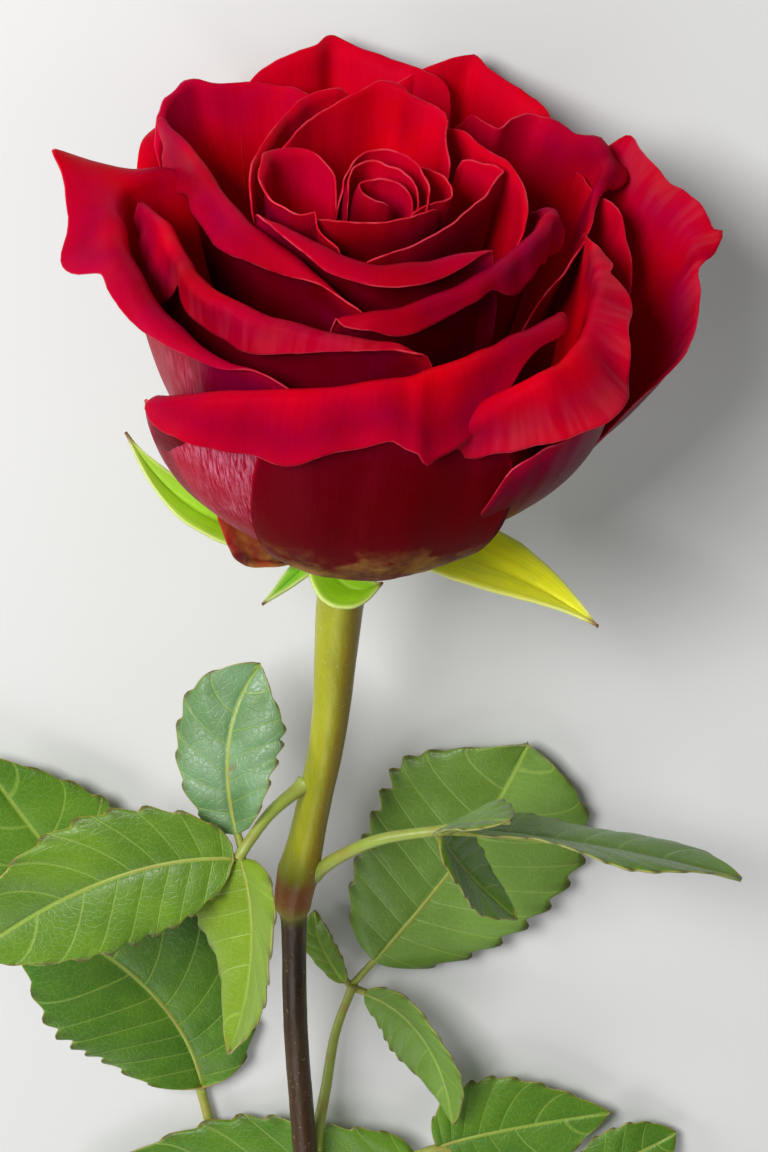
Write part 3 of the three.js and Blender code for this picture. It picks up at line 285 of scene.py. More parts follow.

# How much painted sheen (pale), how yellow and how spotted each leaflet of a leaf is, where it isn't plain.
# The strong yellow of leaf_left's third leaflet is partly its own colour and partly painted light shining
# through it
LEAFLET_LOOKS = {
    "leaf_left": ((0, 0.2, 0), (0.5, 0, 1), (0, 0.7, 0)),
    "leaf_right": ((0.05, 0.2, 0), (0, 0.1, 0), (0.1, 0.3, 0)),
    "leaf_right_low": ((0.1, 0.3, 0), (0.1, 0.3, 0), (0, 0.3, 0)),
}

# A leaf is a stalk of points with a root and an end radius, and leaflets at shares of its length.
Leaf = namedtuple("Leaf", "stalk radii leaflets")
LEAVES = {
    "leaf_left": Leaf(
        [(-9.2, -58.6, -12.8), (-15, -61.5, -8), (-18.6, -65, -4.5), (-20.8, -68, -3)], (1.3, 0.9), [
        Blade(1, (-43.6, -63.6, 2), (-71.6, -90.7, -3), (0.04, 0.2, 0.98), 26.8, 0.49, 0.02, 12, 10),
        Blade(0.93, (-26.5, -48, -11), (-16.8, -36.4, -17), (-0.24, 0.21, 0.95), 20.4, 0.59, 0.08, 8, 7),
        Blade(0.97, (-15.5, -82, 4), (-23, -110.8, -4.3), (-0.65, 0.55, 0.52), 25, 0.3, 0.02, 24, 8)]),
    "leaf_right": Leaf(
        [(-7.8, -80, -17), (-2.4, -73.5, -13), (5, -68.5, -10.5), (17, -65.6, -9)], (1.3, 0.9), [
        Blade(1, (42.5, -69.7, -13), (69.1, -75.9, -8.6), (-0.12, 0.95, -0.29), 28, 0.59, 0.05, 10, 10),
        Blade(0.92, (18.4, -78, -15.1), (29.3, -92, -20.1), (0.96, 0.12, 0.26), 13.2, 0.45, 0.08, 14, 7),
        Blade(0.92, (20.9, -58.9, -1.6), (26.7, -54.7, 6.4), (-0.2, 0.97, -0.11), 13.9, 0.47, 0.08, 14, 7)]),
    "leaf_right_low": Leaf(
        [(-8.8, -153, -31.6), (-6.5, -142, -36), (-4.5, -130, -38), (-1, -119, -38.5)], (1.2, 0.8), [
        Blade(1, (25.3, -86.1, -39.5), (31.8, -65.5, -39.5), (0, 0, 1), 43, 0.61, 0.08, 7, 11),
        Blade(0.97, (15.3, -121.9, -33.5), (18.7, -147, -31.5), (-0.69, 0.02, 0.73),
              16.5, 0.56, 0.08, 18, 8),
        Blade(0.97, (-8.9, -110.4, -39), (-8.4, -103.5, -40.8), (-0.27, -0.29, 0.92),
              7.5, 0.5, 0.08, 10, 6)]),
    "leaf_left_low": Leaf(
        [(-11.2, -188, -35.8), (-17, -186, -39.5), (-24, -178, -41.4), (-28, -166, -41.5),
         (-30.7, -149.1, -41.2), (-36, -128, -41.4), (-44, -109, -41.6)], (1.2, 0.8), [
        Blade(1, (-54, -94.7, -34.5), (-70.5, -67.2, -37.5), (0.07, 0.14, 0.99), 33.6, 0.46, 0.08, 7, 9),
        Blade(0.53, (-31.4, -115.3, -35), (-67.7, -96.7, -34), (0.14, 0.08, 0.99), 39.1, 0.56, 0.08, 8, 10)]),
    "leaf_base": Leaf(
        [(-7.4, -180, -32.6), (-2, -173, -31), (6, -164, -32), (14.5, -156, -35), (27, -160, -36.5),
         (40, -165.3, -36.8)], (1.2, 0.8), [
        Blade(1, (54.9, -160.1, -37.5), (63.2, -155.7, -40.5), (-0.18, 0.06, 0.98), 15.9, 0.54, 0.08, 8, 6),
        Blade(0.547, (19.6, -152.9, -35.5), (49.8, -149.7, -39), (-0.06, 0.13, 0.99), 25.5, 0.51, 0.08, 8, 9),
        Blade(0.547, (-6.8, -167.4, -37.8), (-57.2, -167.2, -40), (0, 0, 1), 30, 0.58, 0.08, 4, 10)]),
}


# Sizes and colours that a user would change
COLOUR = {"subtype": "COLOR", "size": 4, "min": 0, "max": 1}
POWER = {"subtype": "POWER", "unit": "POWER", "min": 0}


class RosePetalSettings(bpy.types.PropertyGroup):
    thickness: FloatProperty(name="Thickness", description="Thickness of a petal, in millimetres",
                             default=0.26, min=0.1, max=1)
    flutter: FloatProperty(name="Flutter", description="How far the rim strays from its smooth line, mm",
                           default=0.35, min=0, max=2)
    crinkle: FloatProperty(name="Crinkle", description="Height of the small waves near the margin, mm",
                           default=0.22, min=0, max=1)
    spacing: FloatProperty(name="Mesh Spacing", description="Length of a mesh face, in millimetres",
                           default=0.9, min=0.4, max=4)
    face_colour: FloatVectorProperty(name="Face", description="Velvety upper face",
                                     default=(0.64, 0, 0.005, 1), **COLOUR)
    # Painted shade: a darker red on the upper face where the margin rolls outwards
    shaded_fold_colour: FloatVectorProperty(name="Fold", description="Upper face on a rolled margin",
                                     default=(0.29, 0, 0.007, 1), **COLOUR)
    # Painted shade deep in the bloom, towards the claw, and on petals that stand in shadow
    deep_shade_colour: FloatVectorProperty(name="Deep", description="Towards the claw and on darker petals",
                                     default=(0.1, 0, 0.001, 1), **COLOUR)
    violet_colour: FloatVectorProperty(name="Violet", description="Cool patches",
                                       default=(0.4, 0, 0.1, 1), **COLOUR)
    # Painted highlight: a thin light line along the margin
    rim_highlight_colour: FloatVectorProperty(name="Rim", description="Thin light line at the margin",
                                    default=(0.85, 0.1, 0.14, 1), **COLOUR)
    # Under face: partly the petal's own darker red and partly painted shade
    back_and_shade_colour: FloatVectorProperty(name="Back", description="Under face",
                                     default=(0.1, 0, 0.001, 1), **COLOUR)
    claw_colour: FloatVectorProperty(name="Claw", description="Yellowish foot of a petal",
                                     default=(0.45, 0.2, 0.02, 1), **COLOUR)


class RoseGreenSettings(bpy.types.PropertyGroup):
    leaf_thickness: FloatProperty(name="Leaf Thickness", description="Thickness of a leaflet, mm",
                                  default=0.35, min=0.1, max=1)
    sepal_thickness: FloatProperty(name="Sepal Thickness", description="Thickness of a sepal, mm",
                                   default=0.5, min=0.1, max=1)
    tooth_depth: FloatProperty(name="Tooth Depth", description="Depth of a tooth, as a share of the width",
                               default=0.055, min=0, max=0.2)
    quilting: FloatProperty(name="Quilting", description="Height of the leaf between its veins, mm",
                            default=0.45, min=0, max=2)
    rows_per_tooth: IntProperty(name="Rows", description="Mesh rows in each tooth", default=7, min=4, max=12)
    leaf_colour: FloatVectorProperty(name="Leaf", description="Upper face of a leaf",
                                     default=(0.045, 0.14, 0.005, 1), **COLOUR)
    young_colour: FloatVectorProperty(name="Young Leaf", description="Lighter patches of a leaf",
                                      default=(0.13, 0.27, 0.008, 1), **COLOUR)
    vein_colour: FloatVectorProperty(name="Vein", description="Ribs and veins of a leaf",
                                     default=(0.3, 0.42, 0.06, 1), **COLOUR)
    margin_colour: FloatVectorProperty(name="Margin", description="Thin line at a leaf's margin",
                                       default=(0.45, 0.3, 0.05, 1), **COLOUR)
    # Partly the sepals' own yellow and partly painted light shining through them
    sepal_yellow_and_glow: FloatVectorProperty(name="Sepal", description="Yellow of the sepals that have turned",
                                      default=(0.95, 0.92, 0.01, 1), **COLOUR)
    stem_colour: FloatVectorProperty(name="Stem", description="Upper stem",
                                     default=(0.36, 0.37, 0.015, 1), **COLOUR)
    # The lower stem's dark brown is partly its own colour and partly painted shade; the teeth's tips are
    # their own colour
    bark_and_shade_colour: FloatVectorProperty(name="Bark", description="Lower stem and the tips of the teeth",
                                     default=(0.035, 0.014, 0.004, 1), **COLOUR)


class RoseStageSettings(bpy.types.PropertyGroup):
    floor_colour: FloatVectorProperty(name="Floor", description="Plain pale floor",
                                      default=(0.68, 0.68, 0.67, 1), **COLOUR)
    key_power: FloatProperty(name="Key", description="Power of the soft key light", default=11, **POWER)
    fill_power: FloatProperty(name="Fill", description="Power of the overhead fill light", default=1.6,
                              **POWER)
    side_power: FloatProperty(name="Side", description="Power of the weak light from the left", default=2.2,
                              **POWER)
    low_power: FloatProperty(name="Low", description="Power of the weak light from below", default=1.5,
                             **POWER)
    sky: FloatProperty(name="Sky", description="Strength of the even pale surroundings", default=0.14,
                       min=0, max=2)


def to_frame(point):
    """A point of the flower's own frame, in millimetres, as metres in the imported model's frame."""
    return (RECEPTACLE + Vector(point)) * MM


def from_bloom(point):
    """A point given to the right of, behind and above the receptacle, in the flower's own frame."""
    return BLOOM_FRAME @ Vector(point)


def stray(seed, x, y=0.0):
    """Smooth noise from about -1 to 1 that is the same in each run."""
    return noise.noise(Vector((x, y, 7.31 * seed)))


def smoothstep(low, high, value):
    share = min(max((value - low) / (high - low), 0), 1)
    return share * share * (3 - 2 * share)


# Mesh making
def sheet(columns, rows, place, marks=None, wrapped=False):
    """A grid whose vertex in column i of row j is moved to place(i, j). Each of marks names an attribute
    and gives its value as a function of i and j."""
    mesh = bmesh.new()
    mesh.loops.layers.uv.new("UVMap")
    bmesh.ops.create_grid(mesh, x_segments=columns, y_segments=rows, size=0.5, calc_uvs=True)
    marks = marks or {}
    for name in marks:
        mesh.verts.layers.float.new(name)
    layers = [(mesh.verts.layers.float[name], value) for name, value in marks.items()]
    for vertex in mesh.verts:
        i, j = round((vertex.co.x + 0.5) * columns), round((vertex.co.y + 0.5) * rows)
        vertex.co = place(i, j) * MM
        for layer, value in layers:
            vertex[layer] = value(i, j)
    if wrapped:
        bmesh.ops.remove_doubles(mesh, verts=mesh.verts, dist=1e-6)
    return mesh


def close_ends(mesh):
    rim = [edge for edge in mesh.edges if edge.is_boundary]
    if rim:
        bmesh.ops.holes_fill(mesh, edges=rim, sides=0)


def finish_piece(name, mesh, materials, node, thickness=None):
    """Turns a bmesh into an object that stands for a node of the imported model."""
    bmesh.ops.translate(mesh, verts=mesh.verts, vec=RECEPTACLE * MM)
    data = bpy.data.meshes.new(name)
    mesh.to_mesh(data)
    mesh.free()
    for material in materials:
        data.materials.append(material)
    data.shade_smooth()
    piece = bpy.data.objects.new(name, data)
    bpy.context.scene.collection.objects.link(piece)
    if thickness:
        wall = piece.modifiers.new("Thickness", "SOLIDIFY")
        wall.thickness = thickness * MM
        wall.offset = 0
        wall.use_even_offset = False
        wall.material_offset = 1
        wall.material_offset_rim = 1
        bake_modifiers(piece)
    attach(piece, "root")
    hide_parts(node)


def bake_modifiers(piece):
    """Applies a piece's modifiers, so that its mesh is the finished shape."""
    seen = piece.evaluated_get(bpy.context.evaluated_depsgraph_get())
    plain, made = piece.data, bpy.data.meshes.new_from_object(seen)
    piece.modifiers.clear()
    piece.data = made
    bpy.data.meshes.remove(plain)
    made.name = piece.name


# Curves
def eased(s, near, near_slope, far, far_slope):
    """The smooth cubic from near to far, at s from 0 to 1."""
    return ((2 * s**3 - 3 * s**2 + 1) * near + (s**3 - 2 * s**2 + s) * near_slope
            + (3 * s**2 - 2 * s**3) * far + (s**3 - s**2) * far_slope)


def polar(angle, radius, height):
    """A point so many degrees round the bloom's axis."""
    turn = math.radians(angle)
    return Vector((radius * math.cos(turn), radius * math.sin(turn), height))


def route_point(route, share):
    """A point on the smooth curve through a route's points, share from 0 to 1 by point."""
    last = len(route) - 1
    k = min(int(share * last), last - 1)
    s = share * last - k
    near, far = Vector(route[k]), Vector(route[k + 1])
    before = Vector(route[k - 1]) if k > 0 else 2 * near - far
    after = Vector(route[k + 2]) if k + 2 <= last else 2 * far - near
    return eased(s, near, (far - before) / 2, far, (after - near) / 2)


def even_points(route, count):
    """Points an even distance apart along a route, as a list of count + 1."""
    fine = [route_point(route, k / (12 * count)) for k in range(12 * count + 1)]
    marks = [0.0]
    for one, other in zip(fine, fine[1:]):
        marks.append(marks[-1] + (other.to_3d() - one.to_3d()).length)
    points, k = [], 0
    for step in range(count + 1):
        goal = marks[-1] * step / count
        while k < len(marks) - 2 and marks[k + 1] < goal:
            k += 1
        points.append(fine[k].lerp(fine[k + 1], (goal - marks[k]) / (marks[k + 1] - marks[k])))
    return points


def ring_frames(points):
    """A side and a second direction for each point of a rod, turned along it without twist."""
    centres = [point.to_3d() for point in points]
    frames = []
    side = Vector((1, 0, 0))
    for k, centre in enumerate(centres):
        along = (centres[min(k + 1, len(centres) - 1)] - centres[max(k - 1, 0)]).normalized()
        side = (side - side.dot(along) * along).normalized()
        frames.append((centre, side, along.cross(side), along))
    return frames


def rod(points, sides, radius_at, marks=None):
    """A closed round solid through points. radius_at(ring, direction) is its radius. Each of marks gives
    an attribute's value as a function of the ring and the direction out of its centre."""
    frames = ring_frames(points)

    def outward(column, ring):
        _, side, other, _ = frames[ring]
        angle = 2 * math.pi * (column % sides) / sides
        return math.cos(angle) * side + math.sin(angle) * other

    def place(column, ring):
        out = outward(column, ring)
        return frames[ring][0] + radius_at(ring, out) * out

    marks = {name: lambda i, j, value=value: value(j, outward(i, j)) for name, value in (marks or {}).items()}
    mesh = sheet(sides, len(points) - 1, place, marks, wrapped=True)
    close_ends(mesh)
    bmesh.ops.recalc_face_normals(mesh, faces=mesh.faces)
    return mesh


def join(meshes):
    """One bmesh that holds all of several, which it uses up."""
    whole = bmesh.new()
    for mesh in meshes:
        part = bpy.data.meshes.new("part")
        mesh.to_mesh(part)
        mesh.free()
        whole.from_mesh(part)
        bpy.data.meshes.remove(part)
    return whole


# Petals
ROW_LENGTH = 0.4                 # what each row of a rim adds to its measured length
HANDLE_REACH = 60                # the handles in the table are for a blade of this length
BLADE_ROWS = 34                  # mesh rows from a petal's base to its fold


def rim_station(rim, share):
    """The rim's angle, radius, height, margin and roll at a share of its length. Each row counts a little
    as a length of its own, so that close rows keep some of it."""
    flat = [polar(*row[:3]) for row in rim]
    marks = [0.0]
    for one, other in zip(flat, flat[1:]):
        marks.append(marks[-1] + (other - one).length + ROW_LENGTH)
    marks = [mark / marks[-1] for mark in marks]
    last = len(rim) - 1
    k = 0
    while k < last - 1 and marks[k + 1] < share:
        k += 1
    width = marks[k + 1] - marks[k]
    s = (share - marks[k]) / width

    def slope(i, channel):
        low, high = max(i - 1, 0), min(i + 1, last)
        return (rim[high][channel] - rim[low][channel]) / (marks[high] - marks[low])

    return [eased(s, rim[k][c], width * slope(k, c), rim[k + 1][c], width * slope(k + 1, c))
            for c in range(5)]


def rim_length(rim):
    flat = [polar(*row[:3]) for row in rim]
    return sum((other - one).length for one, other in zip(flat, flat[1:]))


def meridian_point(petal, station, across, v):
    """A point of a petal: v from 0 to 1 runs up the blade to the fold, from 1 to 2 over the margin."""
    angle, radius, height, margin, roll = station
    start_radius, start_height = petal.base
    reach = math.hypot(radius - start_radius, height - start_height) / HANDLE_REACH
    rise = math.radians(petal.start[0] + petal.spoon * across**2)
    lean = math.radians(petal.top[0])
    first, second = petal.start[1] * reach, petal.top[1] * reach
    t = min(v, 1)
    weights = ((1 - t)**3, 3 * (1 - t)**2 * t, 3 * (1 - t) * t**2, t**3)
    radii = (start_radius, start_radius + first * math.cos(rise), radius - second * math.sin(lean), radius)
    heights = (start_height, start_height + first * math.sin(rise), height - second * math.cos(lean), height)
    r = sum(w * x for w, x in zip(weights, radii))
    h = sum(w * x for w, x in zip(weights, heights))
    if v > 1:
        turn = max(math.radians(roll), 1e-3)
        bend = min(petal.curl, margin / turn)
        along = (v - 1) * margin
        curved = min(along, bend * turn)
        heading = lean + curved / bend
        r += bend * (math.cos(lean) - math.cos(heading)) + (along - curved) * math.sin(heading)
        h += bend * (math.sin(heading) - math.sin(lean)) + (along - curved) * math.cos(heading)
    return polar(angle, r, h)


def loosened(petal, seed, share, length, flutter):
    """A rim station that strays a little from the smooth line, and is longer at the margin's tips. What
    divides along is a wave's length in millimetres."""
    angle, radius, height, margin, roll = rim_station(petal.rim, share)
    along = share * length
    size = min(radius / 20, 1) * flutter
    radius += size * (0.8 * stray(seed, along / 11) + 0.35 * stray(seed + 1, along / 4))
    height += size * (0.7 * stray(seed + 2, along / 13) + 0.35 * stray(seed + 3, along / 5))
    margin = max(margin, 0) * (1 + 0.05 * stray(seed + 4, along / 8)) + 0.4
    margin += 0.6 * size * (stray(seed + 5, along / 3.2) + 0.5 * stray(seed + 6, along / 1.4))
    roll = roll + 26 * size * stray(seed + 7, along / 9)
    for tip_angle, extra, half in PETAL_TIPS.get(petal.name, []):
        margin += extra * math.exp(-abs(angle - tip_angle) / half)
    return angle, radius, height, max(margin, 0.3), max(roll, 2)


def petal_mesh(petal, seed, settings):
    """A petal's sheet. Near its ends, within a corner's length, the rim rounds off down to the claw."""
    length = rim_length(petal.rim)
    columns = max(48, round(length / settings.spacing))
    longest = max(station[3] for station in petal.rim)
    margin_rows = max(6, round(longest / (0.75 * settings.spacing)))
    rows = BLADE_ROWS + margin_rows
    corner = min(max(0.1 * length, 2.5), 8)
    stations = [loosened(petal, seed, i / columns, length, settings.flutter) for i in range(columns + 1)]

    def place(i, j):
        station = stations[i]
        blade = math.hypot(station[1] - petal.base[0], station[2] - petal.base[1])
        near = min(min(i, columns - i) / columns * length / corner, 1)
        run = (blade + station[3]) * (0.4 + 0.6 * math.sqrt(1 - (1 - near)**2))
        first = min(blade, 0.97 * run)
        along = first * j / BLADE_ROWS
        if j > BLADE_ROWS:
            along = first + (run - first) * (j - BLADE_ROWS) / margin_rows
        v = along / blade if along < blade else 1 + (along - blade) / station[3]
        return from_bloom(meridian_point(petal, station, 2 * i / columns - 1, v))

    look = PETAL_LOOKS.get(petal.name, Look())

    # Painted sheen and glints on the outside, full between first and last, plain elsewhere
    def frost(i, j):
        angle = stations[i][0]
        share = smoothstep(look.first - 8, look.first, angle) - smoothstep(look.last, look.last + 16, angle)
        return look.plain + (look.frost - look.plain) * share

    mesh = sheet(columns, rows, place, {
        "tone": lambda i, j: 0.5 + 0.5 * stray(seed, 3.7),
        "frost": frost, "dry": lambda i, j: look.dry, "pale": lambda i, j: look.pale,
        "shade": lambda i, j: PETAL_SHADES.get(petal.name, 0),
        "rolled": lambda i, j: smoothstep(40, 120, stations[i][4])})
    if petal.rim[-1][0] < petal.rim[0][0]:
        bmesh.ops.reverse_faces(mesh, faces=mesh.faces)
    mesh.verts.ensure_lookup_table()
    mark_distances(mesh, columns, rows)
    crinkle(mesh, columns, rows, seed, settings.crinkle)
    return mesh


def mark_distances(mesh, columns, rows):
    """Keeps each vertex's distance from the margin and from the claw, in millimetres."""
    from_edge = mesh.verts.layers.float.new("from_edge")
    from_claw = mesh.verts.layers.float.new("from_claw")
    vert = [[mesh.verts[j * (columns + 1) + i] for j in range(rows + 1)] for i in range(columns + 1)]
    for line in vert:
        run = 0.0
        line[0][from_claw] = 0.0
        for one, other in zip(line, line[1:]):
            run += (other.co - one.co).length / MM
            other[from_claw] = run
        for one in line:
            one[from_edge] = run - one[from_claw]
    for j in range(rows + 1):
        run = 0.0
        marks = [0.0]
        for i in range(columns):
            run += (vert[i + 1][j].co - vert[i][j].co).length / MM
            marks.append(run)
        for i in range(columns + 1):
            vert[i][j][from_edge] = min(vert[i][j][from_edge], marks[i], run - marks[i])


def crinkle(mesh, columns, rows, seed, height):
    """Small waves in the surface that grow towards the margin, with pleats that run up the petal."""
    mesh.normal_update()
    from_edge = mesh.verts.layers.float["from_edge"]
    from_claw = mesh.verts.layers.float["from_claw"]
    moves = []
    for index, vertex in enumerate(mesh.verts):
        u = (index % (columns + 1)) / columns
        along = vertex[from_claw]
        near = math.exp(-vertex[from_edge] / 9)
        wave = stray(seed + 8, vertex.co.x / MM / 6, vertex.co.z / MM / 6 + along / 14)
        pleat = stray(seed + 9, u * 16, along / 22)
        moves.append(vertex.normal * (height * MM * (0.25 + near) * (wave + 1.2 * pleat)))
    for vertex, move in zip(mesh.verts, moves):
        vertex.co += move


def make_petals(petals, first_seed, settings):
    face = shared_material("petal_face", paint_petal, False)
    back = shared_material("petal_back", paint_petal, True)
    for order, petal in enumerate(petals):
        petal = petal._replace(rim=[(row + (0, 0))[:5] for row in petal.rim])
        mesh = petal_mesh(petal, first_seed + 20 * order, settings)
        finish_piece("petal_" + petal.name, mesh, [back, face], "bloom", settings.thickness)


# Leaves and sepals
def spine_point(blade, t):
    root, bend, tip = map(Vector, blade[:3])
    return (1 - t)**2 * root + 2 * (1 - t) * t * bend + t**2 * tip


def half_width(blade, t):
    """Half a blade's width at t along it: a rounded base, then a long taper to a point."""
    half = blade.width / 2
    share = min(max((t - blade.foot) / (1 - blade.foot), 0), 1)
    if share < blade.widest:
        return half * math.sqrt(1 - (1 - share / blade.widest)**2)
    turn = math.pi / 2 * (share - blade.widest) / (1 - blade.widest)
    return half * max(0, math.cos(turn))**(LEAF_TAPER if blade.teeth else SEPAL_TAPER)


def blade_frame(blade, t):
    """The directions across a blade and up from its upper face, at t along it."""
    root, bend, tip = map(Vector, blade[:3])
    along = (2 * (1 - t) * (bend - root) + 2 * t * (tip - bend)).normalized()
    across = along.cross(Vector(blade.face)).normalized()
    return across, across.cross(along).normalized()


def swept_start(share):
    """Where a side vein that ends at this share of the margin leaves the midrib."""
    start = share
    for _ in range(12):
        start -= (start + VEIN_SWEEP * math.sin(math.pi * start) - share) / (
            1 + math.pi * VEIN_SWEEP * math.cos(math.pi * start))
    return start


def leaflet_mesh(blade, looks, seed, settings):
    """A toothed blade whose rows sweep forward to the margin as its side veins do. Looks are how much painted
    sheen lies on it, how yellow it is and how spotted it is."""
    columns, rows = 28, blade.teeth * settings.rows_per_tooth
    veins = max(5, round(0.8 * blade.teeth))
    fold = math.radians(blade.fold)
    starts = [swept_start(j / rows) for j in range(rows + 1)]
    length = (Vector(blade.tip) - Vector(blade.root)).length

    def reach_at(i):
        return abs(2 * i / columns - 1)

    def along_spine(i, j):
        share = starts[j] + VEIN_SWEEP * reach_at(i)**1.2 * math.sin(math.pi * starts[j])
        return blade.foot + (1 - blade.foot) * min(share, 1)

    def tooth(j):
        return (j / settings.rows_per_tooth) % 1

    def place(i, j):
        side = 2 * i / columns - 1
        reach, v, t = abs(side), j / rows, along_spine(i, j)
        across, up = blade_frame(blade, t)
        rise, fall = smoothstep(0, 0.8, tooth(j)), smoothstep(0.8, 1, tooth(j))
        notch = 2 * settings.tooth_depth * (1 - rise + fall) * (0.8 + 0.5 * stray(seed, 5 * v, side))
        half = half_width(blade, t) * (1 - notch * reach**8)
        bulge = abs(math.sin(math.pi * (v * veins + 0.5 * (side > 0))))**0.7 - 0.5
        lift = half * reach * math.sin(fold) - 0.1 * half * reach**3
        lift += settings.quilting * bulge * reach**0.6 * (1 - reach**3)
        lift -= 0.35 * math.exp(-(side / 0.06)**2)
        lift += 0.07 * half * reach * stray(seed + 1, 4 * v + 3 * (side > 0), reach)
        lift += 0.018 * length * reach**2 * math.sin(3 * math.pi * v + seed)
        return spine_point(blade, t) + across * (side * half * math.cos(fold)) + up * lift

    def half_at(i, j):
        return half_width(blade, along_spine(i, j))

    def spot(i, j):
        return looks[2] * math.exp(-((i / columns - 0.56) / 0.035)**2 - ((j / rows - 0.5) / 0.02)**2)

    mesh = sheet(columns, rows, place, {
        "pale": lambda i, j: looks[0], "yellow": lambda i, j: looks[1], "spot": spot,
        "from_edge": lambda i, j: (1 - reach_at(i)) * half_at(i, j),
        "from_rib": lambda i, j: reach_at(i) * half_at(i, j),
        "vein_run": lambda i, j: veins * j / rows,
        "tooth_tip": lambda i, j: reach_at(i)**10 * math.exp(-((tooth(j) - 0.8) / 0.17)**2)})
    bmesh.ops.remove_doubles(mesh, verts=mesh.verts, dist=1e-6)
    return mesh


def midrib_mesh(blade):
    """The raised rib under a leaflet, which thins towards the tip."""
    points = []
    for k in range(25):
        t = 0.97 * k / 24
        _, up = blade_frame(blade, t)
        points.append((spine_point(blade, t) - 0.45 * up).to_4d())
    return rod(points, 8, lambda ring, out: 0.65 * (1 - ring / 24) + 0.12)


def stalk_mesh(leaf):
    points = even_points([point + (0,) for point in leaf.stalk], 40)
    root, end = leaf.radii

    def radius_at(ring, out):
        share = ring / 40
        swell = 0.55 * math.exp(-share / 0.05) + 0.3 * math.exp(-(1 - share) / 0.05)
        return root + (end - root) * share + swell

    return rod(points, 14, radius_at)


def make_leaf(name, leaf, seed, settings):
    stalk = even_points([point + (0,) for point in leaf.stalk], 100)
    blades, ribs = [], [stalk_mesh(leaf)]
    for k, row in enumerate(leaf.leaflets):
        blade = row._replace(root=stalk[round(100 * row.root)].to_3d())
        looks = LEAFLET_LOOKS.get(name, [(0, 0, 0)] * 3)[k]
        blades.append(leaflet_mesh(blade, looks, seed + 5 * k, settings))
        ribs.append(midrib_mesh(blade))
    upper = shared_material("leaf_upper", paint_leaf, False)
    lower = shared_material("leaf_lower", paint_leaf, True)
    finish_piece(name + "_blades", join(blades), [upper, lower], name, settings.leaf_thickness)
    finish_piece(name + "_ribs", join(ribs), [shared_material("leaf_rib", paint_rib)], name)


def sepal_mesh(blade, yellow, seed):
    """A smooth folded blade with a slight furrow along its middle."""
    columns, rows = 16, 60
    fold = math.radians(blade.fold)

    def place(i, j):
        side = 2 * i / columns - 1
        reach = abs(side)
        t = j / rows
        across, up = blade_frame(blade, t)
        half = half_width(blade, t) * (1 + 0.06 * reach**6 * stray(seed, 9 * t, side))
        lift = half * reach * math.sin(fold) + 0.3 * reach**2 * stray(seed + 1, 5 * t, side)
        lift -= 0.3 * math.exp(-(side / 0.12)**2)
        return from_bloom(spine_point(blade, t) + across * (side * half * math.cos(fold)) + up * lift)

    mesh = sheet(columns, rows, place, {
        "from_edge": lambda i, j: (1 - abs(2 * i / columns - 1)) * half_width(blade, j / rows),
        "yellow": lambda i, j: yellow,
        "tip": lambda i, j: j / rows})
    bmesh.ops.remove_doubles(mesh, verts=mesh.verts, dist=1e-6)
    return mesh


def lathe_mesh(profile, sides, rings, ripple=0.0):
    """A closed round solid about the bloom's axis, smooth through its profile of radius and height."""
    points = [route_point(profile, k / rings) for k in range(rings + 1)]

    def place(i, j):
        radius, height = points[j]
        angle = 2 * math.pi * (i % sides) / sides
        radius *= 1 + ripple * math.sin(5 * angle)
        return from_bloom((radius * math.cos(angle), radius * math.sin(angle), height))

    mesh = sheet(sides, rings, place, wrapped=True)
    close_ends(mesh)
    bmesh.ops.recalc_face_normals(mesh, faces=mesh.faces)
    return mesh


# Stem
def stem_mesh():
    """The stem up to its slanted cut, and the points that its rings stand on."""
    points = even_points(STEM_ROUTE, 260)
    start = next(k for k, point in enumerate(points) if point.to_3d().dot(BLOOM_UP) < STEM_TOP)
    points = points[start:]

    def radius_at(ring, out):
        _, y, _, radius = points[ring]
        knot = 0.45 * math.exp(-((y - RING_FOOT) / 1.1)**2) + 0.3 * math.exp(-((y - RING_TOP) / 2.2)**2)
        return radius + knot + 0.07 * stray(3, y / 7, 2 * out.x) + 0.03 * stray(4, y / 2, 4 * out.z)

    def height(ring):
        return points[ring].y

    stem = rod([point.to_3d().to_4d() for point in points], 32, radius_at, {
        # Browner and darker on the stem's right side, above the ring
        "sunned": lambda ring, out: (smoothstep(-0.2, 0.7, out.x)
                                     * smoothstep(RING_Y - 8, RING_Y + 4, height(ring))),
        "ring": lambda ring, out: math.exp(-((height(ring) - RING_Y) / 4.2)**4),
        "low": lambda ring, out: 1 - smoothstep(RING_Y - 9, RING_Y - 2, height(ring))})
    end = Vector(STEM_ROUTE[-1]).to_3d() + Vector((0, CUT_REACH, 0))
    normal = Vector((math.sin(CUT_ANGLE), -math.cos(CUT_ANGLE), 0))
    everything = stem.verts[:] + stem.edges[:] + stem.faces[:]
    bmesh.ops.bisect_plane(stem, geom=everything, plane_co=end * MM, plane_no=normal, clear_outer=True)
    before = set(stem.faces)
    close_ends(stem)
    for face in set(stem.faces) - before:
        face.material_index = 1
    return stem, points


def prickle_mesh(points, y, angle):
    """A prickle that leans back towards the cut end, on a long flat foot."""
    k = min(range(len(points)), key=lambda i: abs(points[i][1] - y))
    centre, side, other, along = ring_frames(points)[k]
    radius = points[k][3]
    turn = math.radians(angle)
    out = math.cos(turn) * side + math.sin(turn) * other
    spine = [centre + out * (radius - 0.6 + PRICKLE_LENGTH * s) + along * (1.9 * s**1.6) for s in
             (0, 0.2, 0.4, 0.6, 0.8, 1)]
    line = even_points([point.to_4d() for point in spine], 16)
    return rod(line, 12, lambda ring, out: 0.05 + PRICKLE_RADIUS * (1 - ring / 16)**1.5,
               {"tip": lambda ring, out: ring / 16})
